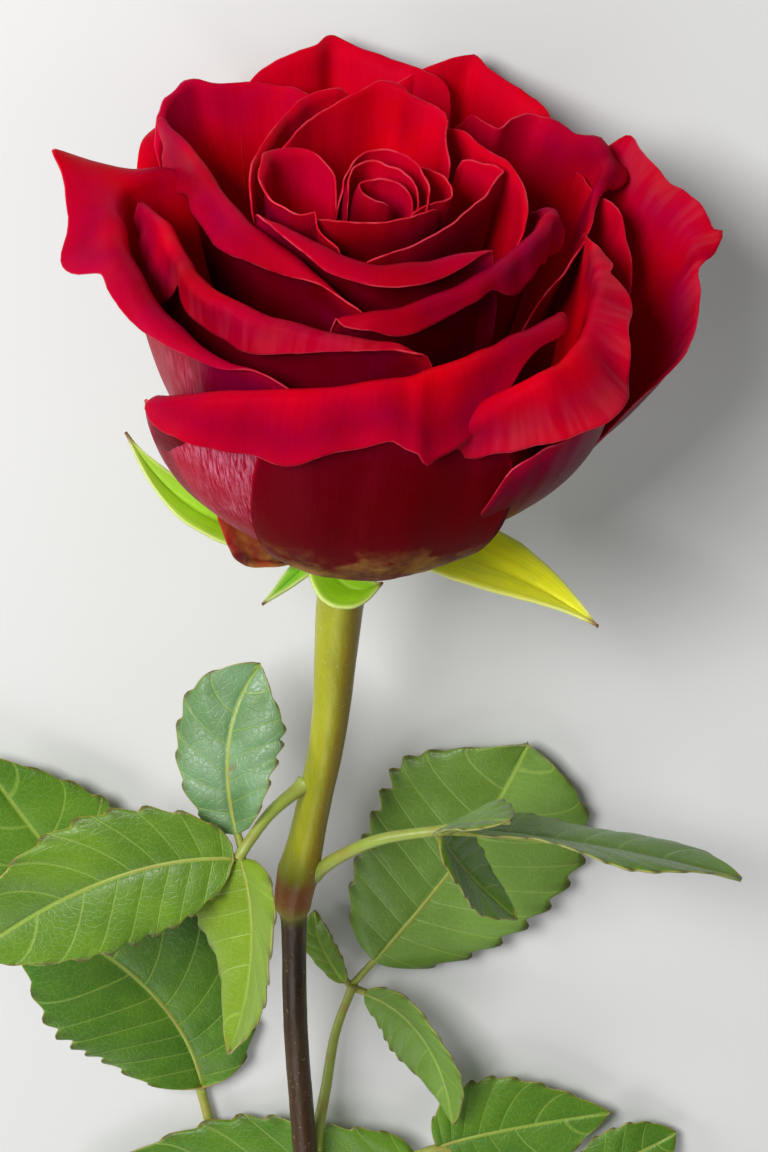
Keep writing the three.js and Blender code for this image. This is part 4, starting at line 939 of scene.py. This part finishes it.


# Tints that shade the colours in the settings
# Painted sheen on a petal's outside: a brighter red ground and pink-white glints
PAINTED_SHEEN_GROUND, PAINTED_GLINTS = (0.4, 0.002, 0.018, 1), (0.7, 0.24, 0.36, 1)
# Painted light on this line: a pale streaky sheen for rolled margins and a lighter band along the margin; the
# vein colour is the petal's own
PAINTED_SHEEN_RAY, PETAL_VEIN, PAINTED_MARGIN_HIGHLIGHT = (0.62, 0.09, 0.11, 1), (0.09, 0, 0.002, 1), (0.55, 0.001, 0.012, 1)
WITHERED_DARK, WITHERED_LIGHT = (0.05, 0.007, 0.014, 1), (0.34, 0.17, 0.03, 1)
CORE_DARK, CORE_LIGHT = (0.1, 0, 0.002, 1), (0.3, 0.03, 0.004, 1)
# The pale one is a painted bluish sheen; the yellow is partly painted light shining through a leaflet
LEAF_YELLOW, PAINTED_LEAF_SHEEN, LEAF_SPOT = (0.25, 0.34, 0.008, 1), (0.22, 0.36, 0.28, 1), (0.2, 0.1, 0.03, 1)
LEAF_UNDER, RIB_BROWN = (0.25, 0.33, 0.14, 1), (0.3, 0.12, 0.03, 1)
SEPAL_DARK, SEPAL_LIGHT, SEPAL_YELLOW = (0.06, 0.34, 0.004, 1), (0.2, 0.55, 0.01, 1), (0.75, 0.8, 0.02, 1)
SEPAL_UNDER, SEPAL_VEIN, SEPAL_MARGIN = (0.3, 0.42, 0.05, 1), (0.2, 0.34, 0.03, 1), (0.55, 0.66, 0.12, 1)
SEPAL_FUZZ, SEPAL_TIP = (0.7, 0.7, 0.3, 1), (0.2, 0.07, 0.02, 1)
STEM_GREEN, STEM_BLUSH, BARK_LIGHT = (0.2, 0.25, 0.012, 1), (0.2, 0.1, 0.012, 1), (0.07, 0.035, 0.008, 1)
RING_BROWN, STEM_SPECK = (0.26, 0.06, 0.008, 1), (0.5, 0.42, 0.2, 1)
CUT_GREEN, CUT_PALE = (0.42, 0.44, 0.16, 1), (0.6, 0.58, 0.3, 1)
PRICKLE_RED, PRICKLE_ORANGE, PRICKLE_TIP = (0.3, 0.05, 0.02, 1), (0.4, 0.16, 0.05, 1), (0.5, 0.3, 0.12, 1)
FLOOR_PATCH = (0.7, 0.7, 0.7, 1)


# Materials
class Graph:
    """The nodes of one material or group, each made and linked in one call."""

    def __init__(self, tree):
        self.tree = tree

    def add(self, kind, inputs=None, **settings):
        made = self.tree.nodes.new(kind)
        for name, value in settings.items():
            setattr(made, name, value)
        for name, value in (inputs or {}).items():
            self.set(made.inputs[name], value)
        return made

    def set(self, socket, value):
        if isinstance(value, bpy.types.NodeSocket):
            self.tree.links.new(value, socket)
        else:
            socket.default_value = value

    def mix(self, share, one, other):
        made = self.add("ShaderNodeMix", data_type="RGBA", clamp_factor=True)
        for index, value in ((0, share), (6, one), (7, other)):
            self.set(made.inputs[index], value)
        return made.outputs[2]

    def layers(self, base, *layers):
        """Lays colours over a base in turn. A layer is its colour, its mask and what scales the mask."""
        for colour, share, *scales in layers:
            for scale in scales:
                share = self.times(share, scale)
            base = self.mix(share, base, colour)
        return base

    def math(self, operation, *values, clamp=False):
        made = self.add("ShaderNodeMath", operation=operation, use_clamp=clamp)
        for socket, value in zip(made.inputs, values):
            self.set(socket, value)
        return made.outputs[0]

    def times(self, one, other):
        return self.math("MULTIPLY", one, other)

    def plus(self, one, other, clamp=False):
        return self.math("ADD", one, other, clamp=clamp)

    def minus(self, one, other):
        return self.math("SUBTRACT", one, other)

    def band(self, value, low, high, first=0, last=1):
        """Runs smoothly from first to last while the value goes from low to high."""
        made = self.add("ShaderNodeMapRange", interpolation_type="SMOOTHSTEP", inputs={
            "Value": value, "From Min": low, "From Max": high, "To Min": first, "To Max": last})
        return made.outputs["Result"]

    def noise(self, vector, scale, detail=3, roughness=0.5, distortion=0):
        made = self.add("ShaderNodeTexNoise", inputs={
            "Vector": vector, "Scale": scale, "Detail": detail, "Roughness": roughness,
            "Distortion": distortion})
        return made.outputs["Fac"]

    def stretch(self, vector, x, y):
        made = self.add("ShaderNodeMapping", inputs={"Vector": vector, "Scale": (x, y, 1)})
        return made.outputs["Vector"]

    def attribute(self, name):
        return self.add("ShaderNodeAttribute", attribute_name=name).outputs["Fac"]

    def place(self):
        return self.add("ShaderNodeTexCoord").outputs["Object"]

    def uv(self):
        return self.add("ShaderNodeTexCoord").outputs["UV"]

    def group(self, tree, *values):
        """The outputs of a node group, with a value for each of its inputs."""
        made = self.add("ShaderNodeGroup", node_tree=tree)
        for socket, value in zip(made.inputs, values):
            self.set(socket, value)
        return list(made.outputs)

    def surface(self, colour, roughness, relief=None, strength=0, depth=0, **plain):
        """Feeds the Principled shader: relief as a bump so many metres deep, plain values as they are."""
        shader = self.tree.nodes["Principled BSDF"]
        self.set(shader.inputs["Base Color"], colour)
        self.set(shader.inputs["Roughness"], roughness)
        if relief is not None:
            bump = self.add("ShaderNodeBump", inputs={
                "Strength": strength, "Distance": depth, "Height": relief})
            self.set(shader.inputs["Normal"], bump.outputs["Normal"])
        for name, value in plain.items():
            shader.inputs[name.replace("_", " ").title().replace("Ior", "IOR")].default_value = value


def shared_group(name, inputs, outputs, fill):
    """A node group, built once. fill gives its outputs from its graph and its inputs, and an input
    without a value is a vector."""
    if name in bpy.data.node_groups:
        return bpy.data.node_groups[name]
    tree = bpy.data.node_groups.new(name, "ShaderNodeTree")
    for label, value in inputs.items():
        kind = "NodeSocketVector" if value is None else "NodeSocketFloat"
        socket = tree.interface.new_socket(name=label, in_out="INPUT", socket_type=kind)
        if value is not None:
            socket.default_value = value
    for label in outputs:
        tree.interface.new_socket(name=label, in_out="OUTPUT", socket_type="NodeSocketFloat")
    graph = Graph(tree)
    given, wanted = graph.add("NodeGroupInput"), graph.add("NodeGroupOutput")
    for label, socket in zip(outputs, fill(graph, *[given.outputs[label] for label in inputs])):
        graph.set(wanted.inputs[label], socket)
    return tree


def fine_veins(graph, uv, count, stretch):
    """Thin lines that run along v, closer together in u, as a mask and a height."""
    def fill(inner, vector, count, stretch):
        size = inner.add("ShaderNodeCombineXYZ", inputs={"X": count, "Y": stretch, "Z": 1})
        scaled = inner.add("ShaderNodeVectorMath", operation="MULTIPLY")
        inner.set(scaled.inputs[0], vector)
        inner.set(scaled.inputs[1], size.outputs["Vector"])
        coarse = inner.noise(scaled.outputs["Vector"], 1, detail=4, roughness=0.62, distortion=0.25)
        ridge = inner.math("ABSOLUTE", inner.minus(coarse, 0.5))
        return inner.band(ridge, 0, 0.07, 1, 0), coarse

    inputs = {"Vector": None, "Count": 60, "Stretch": 3}
    return graph.group(shared_group("Fine Veins", inputs, ("Mask", "Height"), fill), uv, count, stretch)


def mottle(graph, vector, scale, contrast=0.2):
    """A mask of soft patches of two sizes."""
    def fill(inner, vector, scale, contrast):
        broad = inner.times(inner.noise(vector, scale, detail=2), 0.7)
        fine = inner.times(inner.noise(vector, inner.times(scale, 4.3)), 0.3)
        return [inner.band(inner.plus(broad, fine), inner.minus(0.5, contrast), inner.plus(0.5, contrast))]

    inputs = {"Vector": None, "Scale": 60, "Contrast": 0.3}
    return graph.group(shared_group("Mottle", inputs, ("Mask",), fill), vector, scale, contrast)[0]


def edge_line(graph, line, band):
    """Masks of a thin line at the margin and of a broad soft band behind it."""
    def fill(inner, distance, line, band):
        return inner.band(distance, 0, line, 1, 0), inner.band(distance, 0, band, 1, 0)

    inputs = {"Distance": 0, "Line": 0.5, "Band": 4}
    tree = shared_group("Edge Line", inputs, ("Line Mask", "Band Mask"), fill)
    return graph.group(tree, graph.attribute("from_edge"), line, band)


def side_veins(graph, width):
    """A mask of the lines where the attribute vein_run is whole, or half between on the other side."""
    u = graph.add("ShaderNodeSeparateXYZ", inputs={"Vector": graph.uv()}).outputs["X"]
    shifted = graph.plus(graph.attribute("vein_run"), graph.times(graph.math("GREATER_THAN", u, 0.5), 0.5))
    away = graph.math("ABSOLUTE", graph.minus(shifted, graph.math("ROUND", shifted)))
    return graph.band(away, 0.2 * width, width, 1, 0)


def shared_material(name, paint, *choices):
    """A material, made once. paint fills its graph."""
    if name in bpy.data.materials:
        return bpy.data.materials[name]
    made = bpy.data.materials.new(name)
    made.use_nodes = True
    paint(Graph(made.node_tree), *choices)
    return made


def paint_petal(graph, is_back):
    colours = bpy.context.scene.rose_petals
    place, uv = graph.place(), graph.uv()
    from_edge, from_claw = graph.attribute("from_edge"), graph.attribute("from_claw")
    dry = graph.attribute("dry")
    # Masks of the painted highlight on the rim and of the lighter band behind it
    line, margin = edge_line(graph, 0.26, 5)
    veins, ridges = fine_veins(graph, uv, 64 if is_back else 44, 2.2)
    patches, ruffle = mottle(graph, place, 55), mottle(graph, place, 190)
    if is_back:
        # The outside's ground is the under face colour, partly painted shade, brightened where painted sheen
        # falls
        frost = graph.attribute("frost")
        base = graph.mix(graph.band(frost, 0, 0.5, 0, 0.8), colours.back_and_shade_colour, PAINTED_SHEEN_GROUND)
    else:
        # Painted sheen: pale streaks on rolled margins
        ray = graph.noise(graph.stretch(uv, 40, 1.5), 1)
        pale = graph.times(graph.attribute("pale"), graph.band(from_edge, 1, 8, 1, 0))
        base = graph.layers(
            colours.face_colour,
            # Painted shade on rolled margins
            (colours.shaded_fold_colour, graph.band(from_edge, 3, 14, 1, 0), graph.attribute("rolled")),
            (PAINTED_SHEEN_RAY, pale, graph.band(ray, 0.38, 0.66)))
    # Painted shade that deepens towards the claw, deep in the bloom
    depth = graph.plus(graph.band(from_claw, 10, 46, 1, 0), graph.times(patches, 0.15), clamp=True)
    tone = graph.band(graph.attribute("tone"), 0.1, 0.9, 0.05, 0.45)
    withered = graph.mix(ruffle, WITHERED_DARK, WITHERED_LIGHT)
    low_edge = graph.times(graph.band(from_claw, 26, 36, 1, 0), graph.band(patches, 0.45, 0.7, 0, 1.4))
    dryness = graph.times(dry, graph.math("MAXIMUM", low_edge, graph.band(dry, 0.6, 1)))
    colour = graph.layers(
        base,
        (colours.deep_shade_colour, depth, 0.8),
        # Painted shade over whole petals
        (colours.deep_shade_colour, graph.attribute("shade")),
        (colours.violet_colour, patches, tone, graph.band(from_edge, 2, 14, 1, 0.3)),
        (PETAL_VEIN, veins, 0.14 if is_back else 0.08),
        (colours.claw_colour, graph.band(from_claw, 3, 12, 1, 0), 0.8),
        # Painted highlight: a lighter band along the margin
        (PAINTED_MARGIN_HIGHLIGHT, margin, 0.35),
        # Painted highlight along the rim
        (colours.rim_highlight_colour, line, graph.band(ruffle, 0.2, 0.9, 0.05, 0.4)),
        (withered, dryness, graph.band(patches, 0.2, 0.7, 0.4, 1)))
    if is_back:
        # Painted glints: pink-white streaky specks over the painted sheen
        grit = graph.noise(graph.stretch(uv, 130, 14), 1, detail=4, roughness=0.75)
        colour = graph.layers(colour, (PAINTED_GLINTS, frost, graph.band(grit, 0.4, 0.66),
                                       graph.band(patches, 0.15, 0.8, 0.15, 0.65)))
    velvet = graph.noise(place, 2600, detail=2)
    rough = graph.band(velvet, 0.3, 0.7, 0.36 if is_back else 0.42, 0.46 if is_back else 0.54)
    relief = graph.plus(graph.times(ridges, 0.6), graph.plus(graph.times(velvet, 0.08),
                                                             graph.times(ruffle, 0.5)))
    graph.surface(colour, rough, relief, 0.25, 0.0003, specular_ior_level=0.03,
                  specular_tint=(1, 0.2, 0.35, 1), sheen_weight=0.01, sheen_roughness=0.3,
                  sheen_tint=(1, 0.1, 0.3, 1), subsurface_weight=0.15,
                  subsurface_radius=(1, 0.08, 0.06), subsurface_scale=0.0018)


def paint_core(graph):
    graph.surface(graph.mix(mottle(graph, graph.place(), 400), CORE_DARK, CORE_LIGHT), 0.7)


def paint_leaf(graph, is_under):
    colours = bpy.context.scene.rose_greens
    place = graph.place()
    line, margin = edge_line(graph, 0.5, 2.6)
    patches = mottle(graph, place, 45)
    net = graph.add("ShaderNodeTexVoronoi", feature="DISTANCE_TO_EDGE", inputs={
        "Vector": place, "Scale": 800})
    net_line = graph.band(net.outputs["Distance"], 0, 0.1, 1, 0)
    side_vein = side_veins(graph, 0.05)
    midrib = graph.band(graph.attribute("from_rib"), 0.15, 0.6, 1, 0)
    body = graph.layers(
        colours.leaf_colour,
        (colours.young_colour, patches, 0.65),
        # Yellow, on one leaflet partly painted light shining through it
        (LEAF_YELLOW, graph.attribute("yellow"), 0.75),
        # Painted sheen where the leaflet is marked pale
        (PAINTED_LEAF_SHEEN, graph.attribute("pale"), graph.band(patches, 0.1, 0.9, 0.4, 1)),
        (colours.vein_colour, net_line, 0.25 if is_under else 0.12),
        (colours.vein_colour, graph.math("MAXIMUM", graph.times(side_vein, 0.5), midrib), 0.75),
        (colours.young_colour, margin, 0.2),
        (colours.margin_colour, line, 0.7),
        (colours.bark_and_shade_colour, graph.attribute("tooth_tip"), 0.85),
        (LEAF_SPOT, graph.attribute("spot"), 0.8))
    if is_under:
        body = graph.mix(0.45, body, LEAF_UNDER)
    grain = graph.noise(place, 1800)
    rough = graph.band(grain, 0.3, 0.7, 0.5 if is_under else 0.32, 0.7 if is_under else 0.5)
    relief = graph.minus(graph.times(grain, 0.12), graph.plus(graph.times(net_line, 0.3),
                                                              graph.times(side_vein, 0.8)))
    graph.surface(body, rough, relief, 0.35, 0.0003, specular_ior_level=0.4, sheen_weight=0.08,
                  sheen_roughness=0.4, sheen_tint=(0.8, 0.95, 1, 1), subsurface_weight=0.08,
                  subsurface_radius=(0.4, 1, 0.1), subsurface_scale=0.0012)


def paint_rib(graph):
    patches = mottle(graph, graph.place(), 160, 0.25)
    body = graph.layers(bpy.context.scene.rose_greens.vein_colour, (RIB_BROWN, patches, 0.5))
    graph.surface(body, graph.band(patches, 0, 1, 0.4, 0.55))


def paint_sepal(graph, is_under):
    place = graph.place()
    line, margin = edge_line(graph, 0.7, 2.5)
    veins, ridges = fine_veins(graph, graph.uv(), 9, 1.2)
    patches = mottle(graph, place, 120, 0.25)
    green = graph.mix(patches, SEPAL_DARK, SEPAL_LIGHT)
    # Bright yellow, partly painted light shining through the sepal
    yellow = graph.mix(patches, bpy.context.scene.rose_greens.sepal_yellow_and_glow, SEPAL_YELLOW)
    body = graph.mix(graph.attribute("yellow"), green, yellow)
    if is_under:
        body = graph.mix(0.3, body, SEPAL_UNDER)
    body = graph.layers(
        body, (SEPAL_VEIN, veins, 0.15), (SEPAL_MARGIN, margin, 0.2), (SEPAL_FUZZ, line, 0.5),
        (SEPAL_TIP, graph.band(graph.attribute("tip"), 0.93, 1)))
    grain = graph.noise(place, 1500)
    relief = graph.plus(graph.times(ridges, 0.8), graph.times(grain, 0.2))
    graph.surface(body, graph.band(grain, 0.3, 0.7, 0.42, 0.6), relief, 0.5, 0.0004,
                  specular_ior_level=0.25, sheen_weight=0.06, sheen_roughness=0.4,
                  sheen_tint=(0.9, 1, 0.7, 1), subsurface_weight=0.3, subsurface_radius=(0.6, 1, 0.1),
                  subsurface_scale=0.0015)


def paint_stem(graph):
    colours = bpy.context.scene.rose_greens
    place = graph.place()
    streaks = mottle(graph, graph.stretch(place, 1, 0.14), 420, 0.22)
    patches = mottle(graph, place, 90, 0.25)
    # Browner and darker on the right side of the upper stem
    blush = graph.plus(graph.attribute("sunned"), graph.times(patches, 0.2), clamp=True)
    # Lower stem: dark bark, partly painted shade
    bark = graph.layers(colours.bark_and_shade_colour, (BARK_LIGHT, streaks, 0.6))
    spots = graph.noise(place, 1500, detail=1)
    body = graph.layers(
        colours.stem_colour, (STEM_GREEN, streaks, 0.5), (STEM_BLUSH, blush, 0.75),
        (bark, graph.attribute("low")), (RING_BROWN, graph.attribute("ring"), 0.9),
        (STEM_SPECK, graph.band(spots, 0.68, 0.74), 0.35))
    relief = graph.plus(streaks, graph.times(spots, 0.5))
    graph.surface(body, graph.band(streaks, 0, 1, 0.34, 0.5), relief, 0.4, 0.0002,
                  specular_ior_level=0.3, sheen_weight=0.02, subsurface_weight=0.06,
                  subsurface_radius=(0.5, 0.8, 0.1), subsurface_scale=0.001)


def paint_cut(graph):
    patches = mottle(graph, graph.place(), 700)
    graph.surface(graph.mix(patches, CUT_GREEN, CUT_PALE), graph.band(patches, 0, 1, 0.5, 0.7))


def paint_prickle(graph):
    patches = mottle(graph, graph.place(), 300, 0.25)
    body = graph.layers(PRICKLE_RED, (PRICKLE_ORANGE, patches, 0.4),
                        (PRICKLE_TIP, graph.band(graph.attribute("tip"), 0.5, 1)))
    graph.surface(body, graph.band(patches, 0, 1, 0.3, 0.45))


def paint_floor(graph, colour):
    patches = mottle(graph, graph.place(), 6, 0.4)
    graph.surface(graph.layers(colour, (FLOOR_PATCH, patches, 0.05)), 0.75)


# Operators, one for each group of like pieces
class ROSE_OT_heart_petals(bpy.types.Operator):
    """Makes the tight petals at the heart of the bloom and the core that they grow from"""
    bl_idname = "rose.heart_petals"
    bl_label = "Heart Petals"
    bl_options = {"REGISTER", "UNDO"}

    def execute(self, context):
        make_petals(HEART_PETALS, 100, context.scene.rose_petals)
        core = lathe_mesh(CORE_PROFILE, 40, 50, ripple=0.03)
        finish_piece("core", core, [shared_material("core", paint_core)], "bloom")
        return {"FINISHED"}


class ROSE_OT_middle_petals(bpy.types.Operator):
    """Makes the petals round the heart"""
    bl_idname = "rose.middle_petals"
    bl_label = "Middle Petals"
    bl_options = {"REGISTER", "UNDO"}

    def execute(self, context):
        make_petals(MIDDLE_PETALS, 300, context.scene.rose_petals)
        return {"FINISHED"}


class ROSE_OT_outer_petals(bpy.types.Operator):
    """Makes the large outer petals and the guard petals behind them"""
    bl_idname = "rose.outer_petals"
    bl_label = "Outer Petals"
    bl_options = {"REGISTER", "UNDO"}

    def execute(self, context):
        make_petals(OUTER_PETALS, 600, context.scene.rose_petals)
        return {"FINISHED"}


class ROSE_OT_calyx(bpy.types.Operator):
    """Makes the hip under the petals and its five sepals"""
    bl_idname = "rose.calyx"
    bl_label = "Calyx"
    bl_options = {"REGISTER", "UNDO"}

    def execute(self, context):
        upper = shared_material("sepal_face", paint_sepal, False)
        lower = shared_material("sepal_back", paint_sepal, True)
        thickness = context.scene.rose_greens.sepal_thickness
        for order, (name, blade) in enumerate(SEPALS.items()):
            mesh = sepal_mesh(blade, YELLOW_SEPALS.get(name, 0), 900 + order)
            finish_piece(name, mesh, [upper, lower], "calyx", thickness)
        hip = lathe_mesh(HIP_PROFILE, 48, 40, ripple=0.015)
        finish_piece("hip", hip, [lower], "calyx")
        return {"FINISHED"}


class ROSE_OT_stem(bpy.types.Operator):
    """Makes the stem with its node ring, prickles and slanted cut"""
    bl_idname = "rose.stem"
    bl_label = "Stem"
    bl_options = {"REGISTER", "UNDO"}

    def execute(self, context):
        stem, points = stem_mesh()
        skin, cut = shared_material("stem_skin", paint_stem), shared_material("cut_face", paint_cut)
        finish_piece("stem_skin", stem, [skin, cut], "stem")
        prickles = join([prickle_mesh(points, y, angle) for y, angle in PRICKLES])
        finish_piece("prickles", prickles, [shared_material("prickle", paint_prickle)], "stem")
        return {"FINISHED"}


class ROSE_OT_leaves(bpy.types.Operator):
    """Makes the five compound leaves, each with toothed blades, ribs and stalk"""
    bl_idname = "rose.leaves"
    bl_label = "Leaves"
    bl_options = {"REGISTER", "UNDO"}

    def execute(self, context):
        for order, (name, leaf) in enumerate(LEAVES.items()):
            make_leaf(name, leaf, 1000 + 30 * order, context.scene.rose_greens)
        return {"FINISHED"}


class ROSE_OT_stage(bpy.types.Operator):
    """Lays out the pale floor, the soft lights and the camera"""
    bl_idname = "rose.stage"
    bl_label = "Stage"
    bl_options = {"REGISTER", "UNDO"}

    def execute(self, context):
        stage = context.scene.rose_stage
        add_floor(context.scene, tuple(stage.floor_colour))
        for name, light in LIGHTS.items():
            add_light(name, getattr(stage, name + "_power"), *light)
        add_surroundings(context.scene, stage.sky)
        add_camera(context.scene)
        context.scene.view_settings.view_transform = "Standard"
        return {"FINISHED"}


# Each light's side, the direction that it comes from and its distance from the bloom, in metres
LIGHTS = {
    "key": (0.42, (-0.42, 0.48, 0.79), 1), "fill": (1.2, (0.25, -0.1, 1), 1.2),
    "side": (0.3, (-1, -0.2, 0.35), 0.8), "low": (0.4, (-0.25, -0.9, 0.5), 0.9),
}


def add_floor(scene, colour):
    mesh = bmesh.new()
    bmesh.ops.create_grid(mesh, x_segments=2, y_segments=2, size=2.5)
    data = bpy.data.meshes.new("floor")
    mesh.to_mesh(data)
    mesh.free()
    data.materials.append(shared_material("floor", paint_floor, colour))
    floor = bpy.data.objects.new("floor", data)
    scene.collection.objects.link(floor)


def add_light(name, power, size, direction, reach):
    """A soft square light that looks at the bloom from a direction."""
    data = bpy.data.lights.new(name, "AREA")
    data.shape = "SQUARE"
    data.size = size
    data.energy = power
    light = bpy.data.objects.new(name, data)
    aim = to_frame((0, 0, 0))
    away = Vector(direction).normalized()
    light.location = aim + away * reach
    light.rotation_euler = away.to_track_quat("Z", "Y").to_euler()
    bpy.context.scene.collection.objects.link(light)


def add_surroundings(scene, strength):
    world = bpy.data.worlds.new("surroundings")
    world.use_nodes = True
    background = world.node_tree.nodes["Background"]
    background.inputs["Color"].default_value = (0.95, 0.97, 1, 1)
    background.inputs["Strength"].default_value = strength
    scene.world = world


def add_camera(scene):
    """The photograph's view, with the receptacle on its pixel."""
    right = Vector((1, 0, 0))
    up = Vector((0, math.cos(CAMERA_TILT), -math.sin(CAMERA_TILT)))
    back = right.cross(up)
    pixels = LENS / SENSOR * PHOTO_HEIGHT
    aside = (RECEPTACLE_PIXEL[0] - PHOTO_WIDTH / 2) / pixels * CAMERA_REACH
    above = (PHOTO_HEIGHT / 2 - RECEPTACLE_PIXEL[1]) / pixels * CAMERA_REACH
    data = bpy.data.cameras.new("camera")
    data.lens = LENS
    data.sensor_width = SENSOR
    data.sensor_fit = "AUTO"
    data.clip_start = 0.01
    camera = bpy.data.objects.new("camera", data)
    turn = Matrix((right, up, back)).transposed().to_4x4()
    camera.matrix_world = Matrix.Translation(
        to_frame(CAMERA_REACH * back - aside * right - above * up)) @ turn
    scene.collection.objects.link(camera)
    scene.camera = camera


class VIEW3D_PT_rose(bpy.types.Panel):
    """Lists the rose's pieces and their sizes and colours"""
    bl_label = "Cut Rose"
    bl_space_type = "VIEW_3D"
    bl_region_type = "UI"
    bl_category = "Rose"

    def draw(self, context):
        layout = self.layout
        for operator in OPERATORS:
            layout.operator(operator.bl_idname)
        for settings in (context.scene.rose_petals, context.scene.rose_greens, context.scene.rose_stage):
            box = layout.box()
            for name in settings.bl_rna.properties.keys():
                if name not in ("rna_type", "name"):
                    box.prop(settings, name)


SETTINGS = (RosePetalSettings, RoseGreenSettings, RoseStageSettings)
OPERATORS = (ROSE_OT_heart_petals, ROSE_OT_middle_petals, ROSE_OT_outer_petals, ROSE_OT_calyx,
             ROSE_OT_stem, ROSE_OT_leaves, ROSE_OT_stage)


def register():
    for one in SETTINGS + OPERATORS + (VIEW3D_PT_rose,):
        bpy.utils.register_class(one)
    bpy.types.Scene.rose_petals = PointerProperty(type=RosePetalSettings)
    bpy.types.Scene.rose_greens = PointerProperty(type=RoseGreenSettings)
    bpy.types.Scene.rose_stage = PointerProperty(type=RoseStageSettings)


def unregister():
    del bpy.types.Scene.rose_stage
    del bpy.types.Scene.rose_greens
    del bpy.types.Scene.rose_petals
    for one in reversed(SETTINGS + OPERATORS + (VIEW3D_PT_rose,)):
        bpy.utils.unregister_class(one)


def main():
    register()
    for operator in OPERATORS:
        category, name = operator.bl_idname.split(".")
        getattr(getattr(bpy.ops, category), name)()


if __name__ == "__main__":
    main()
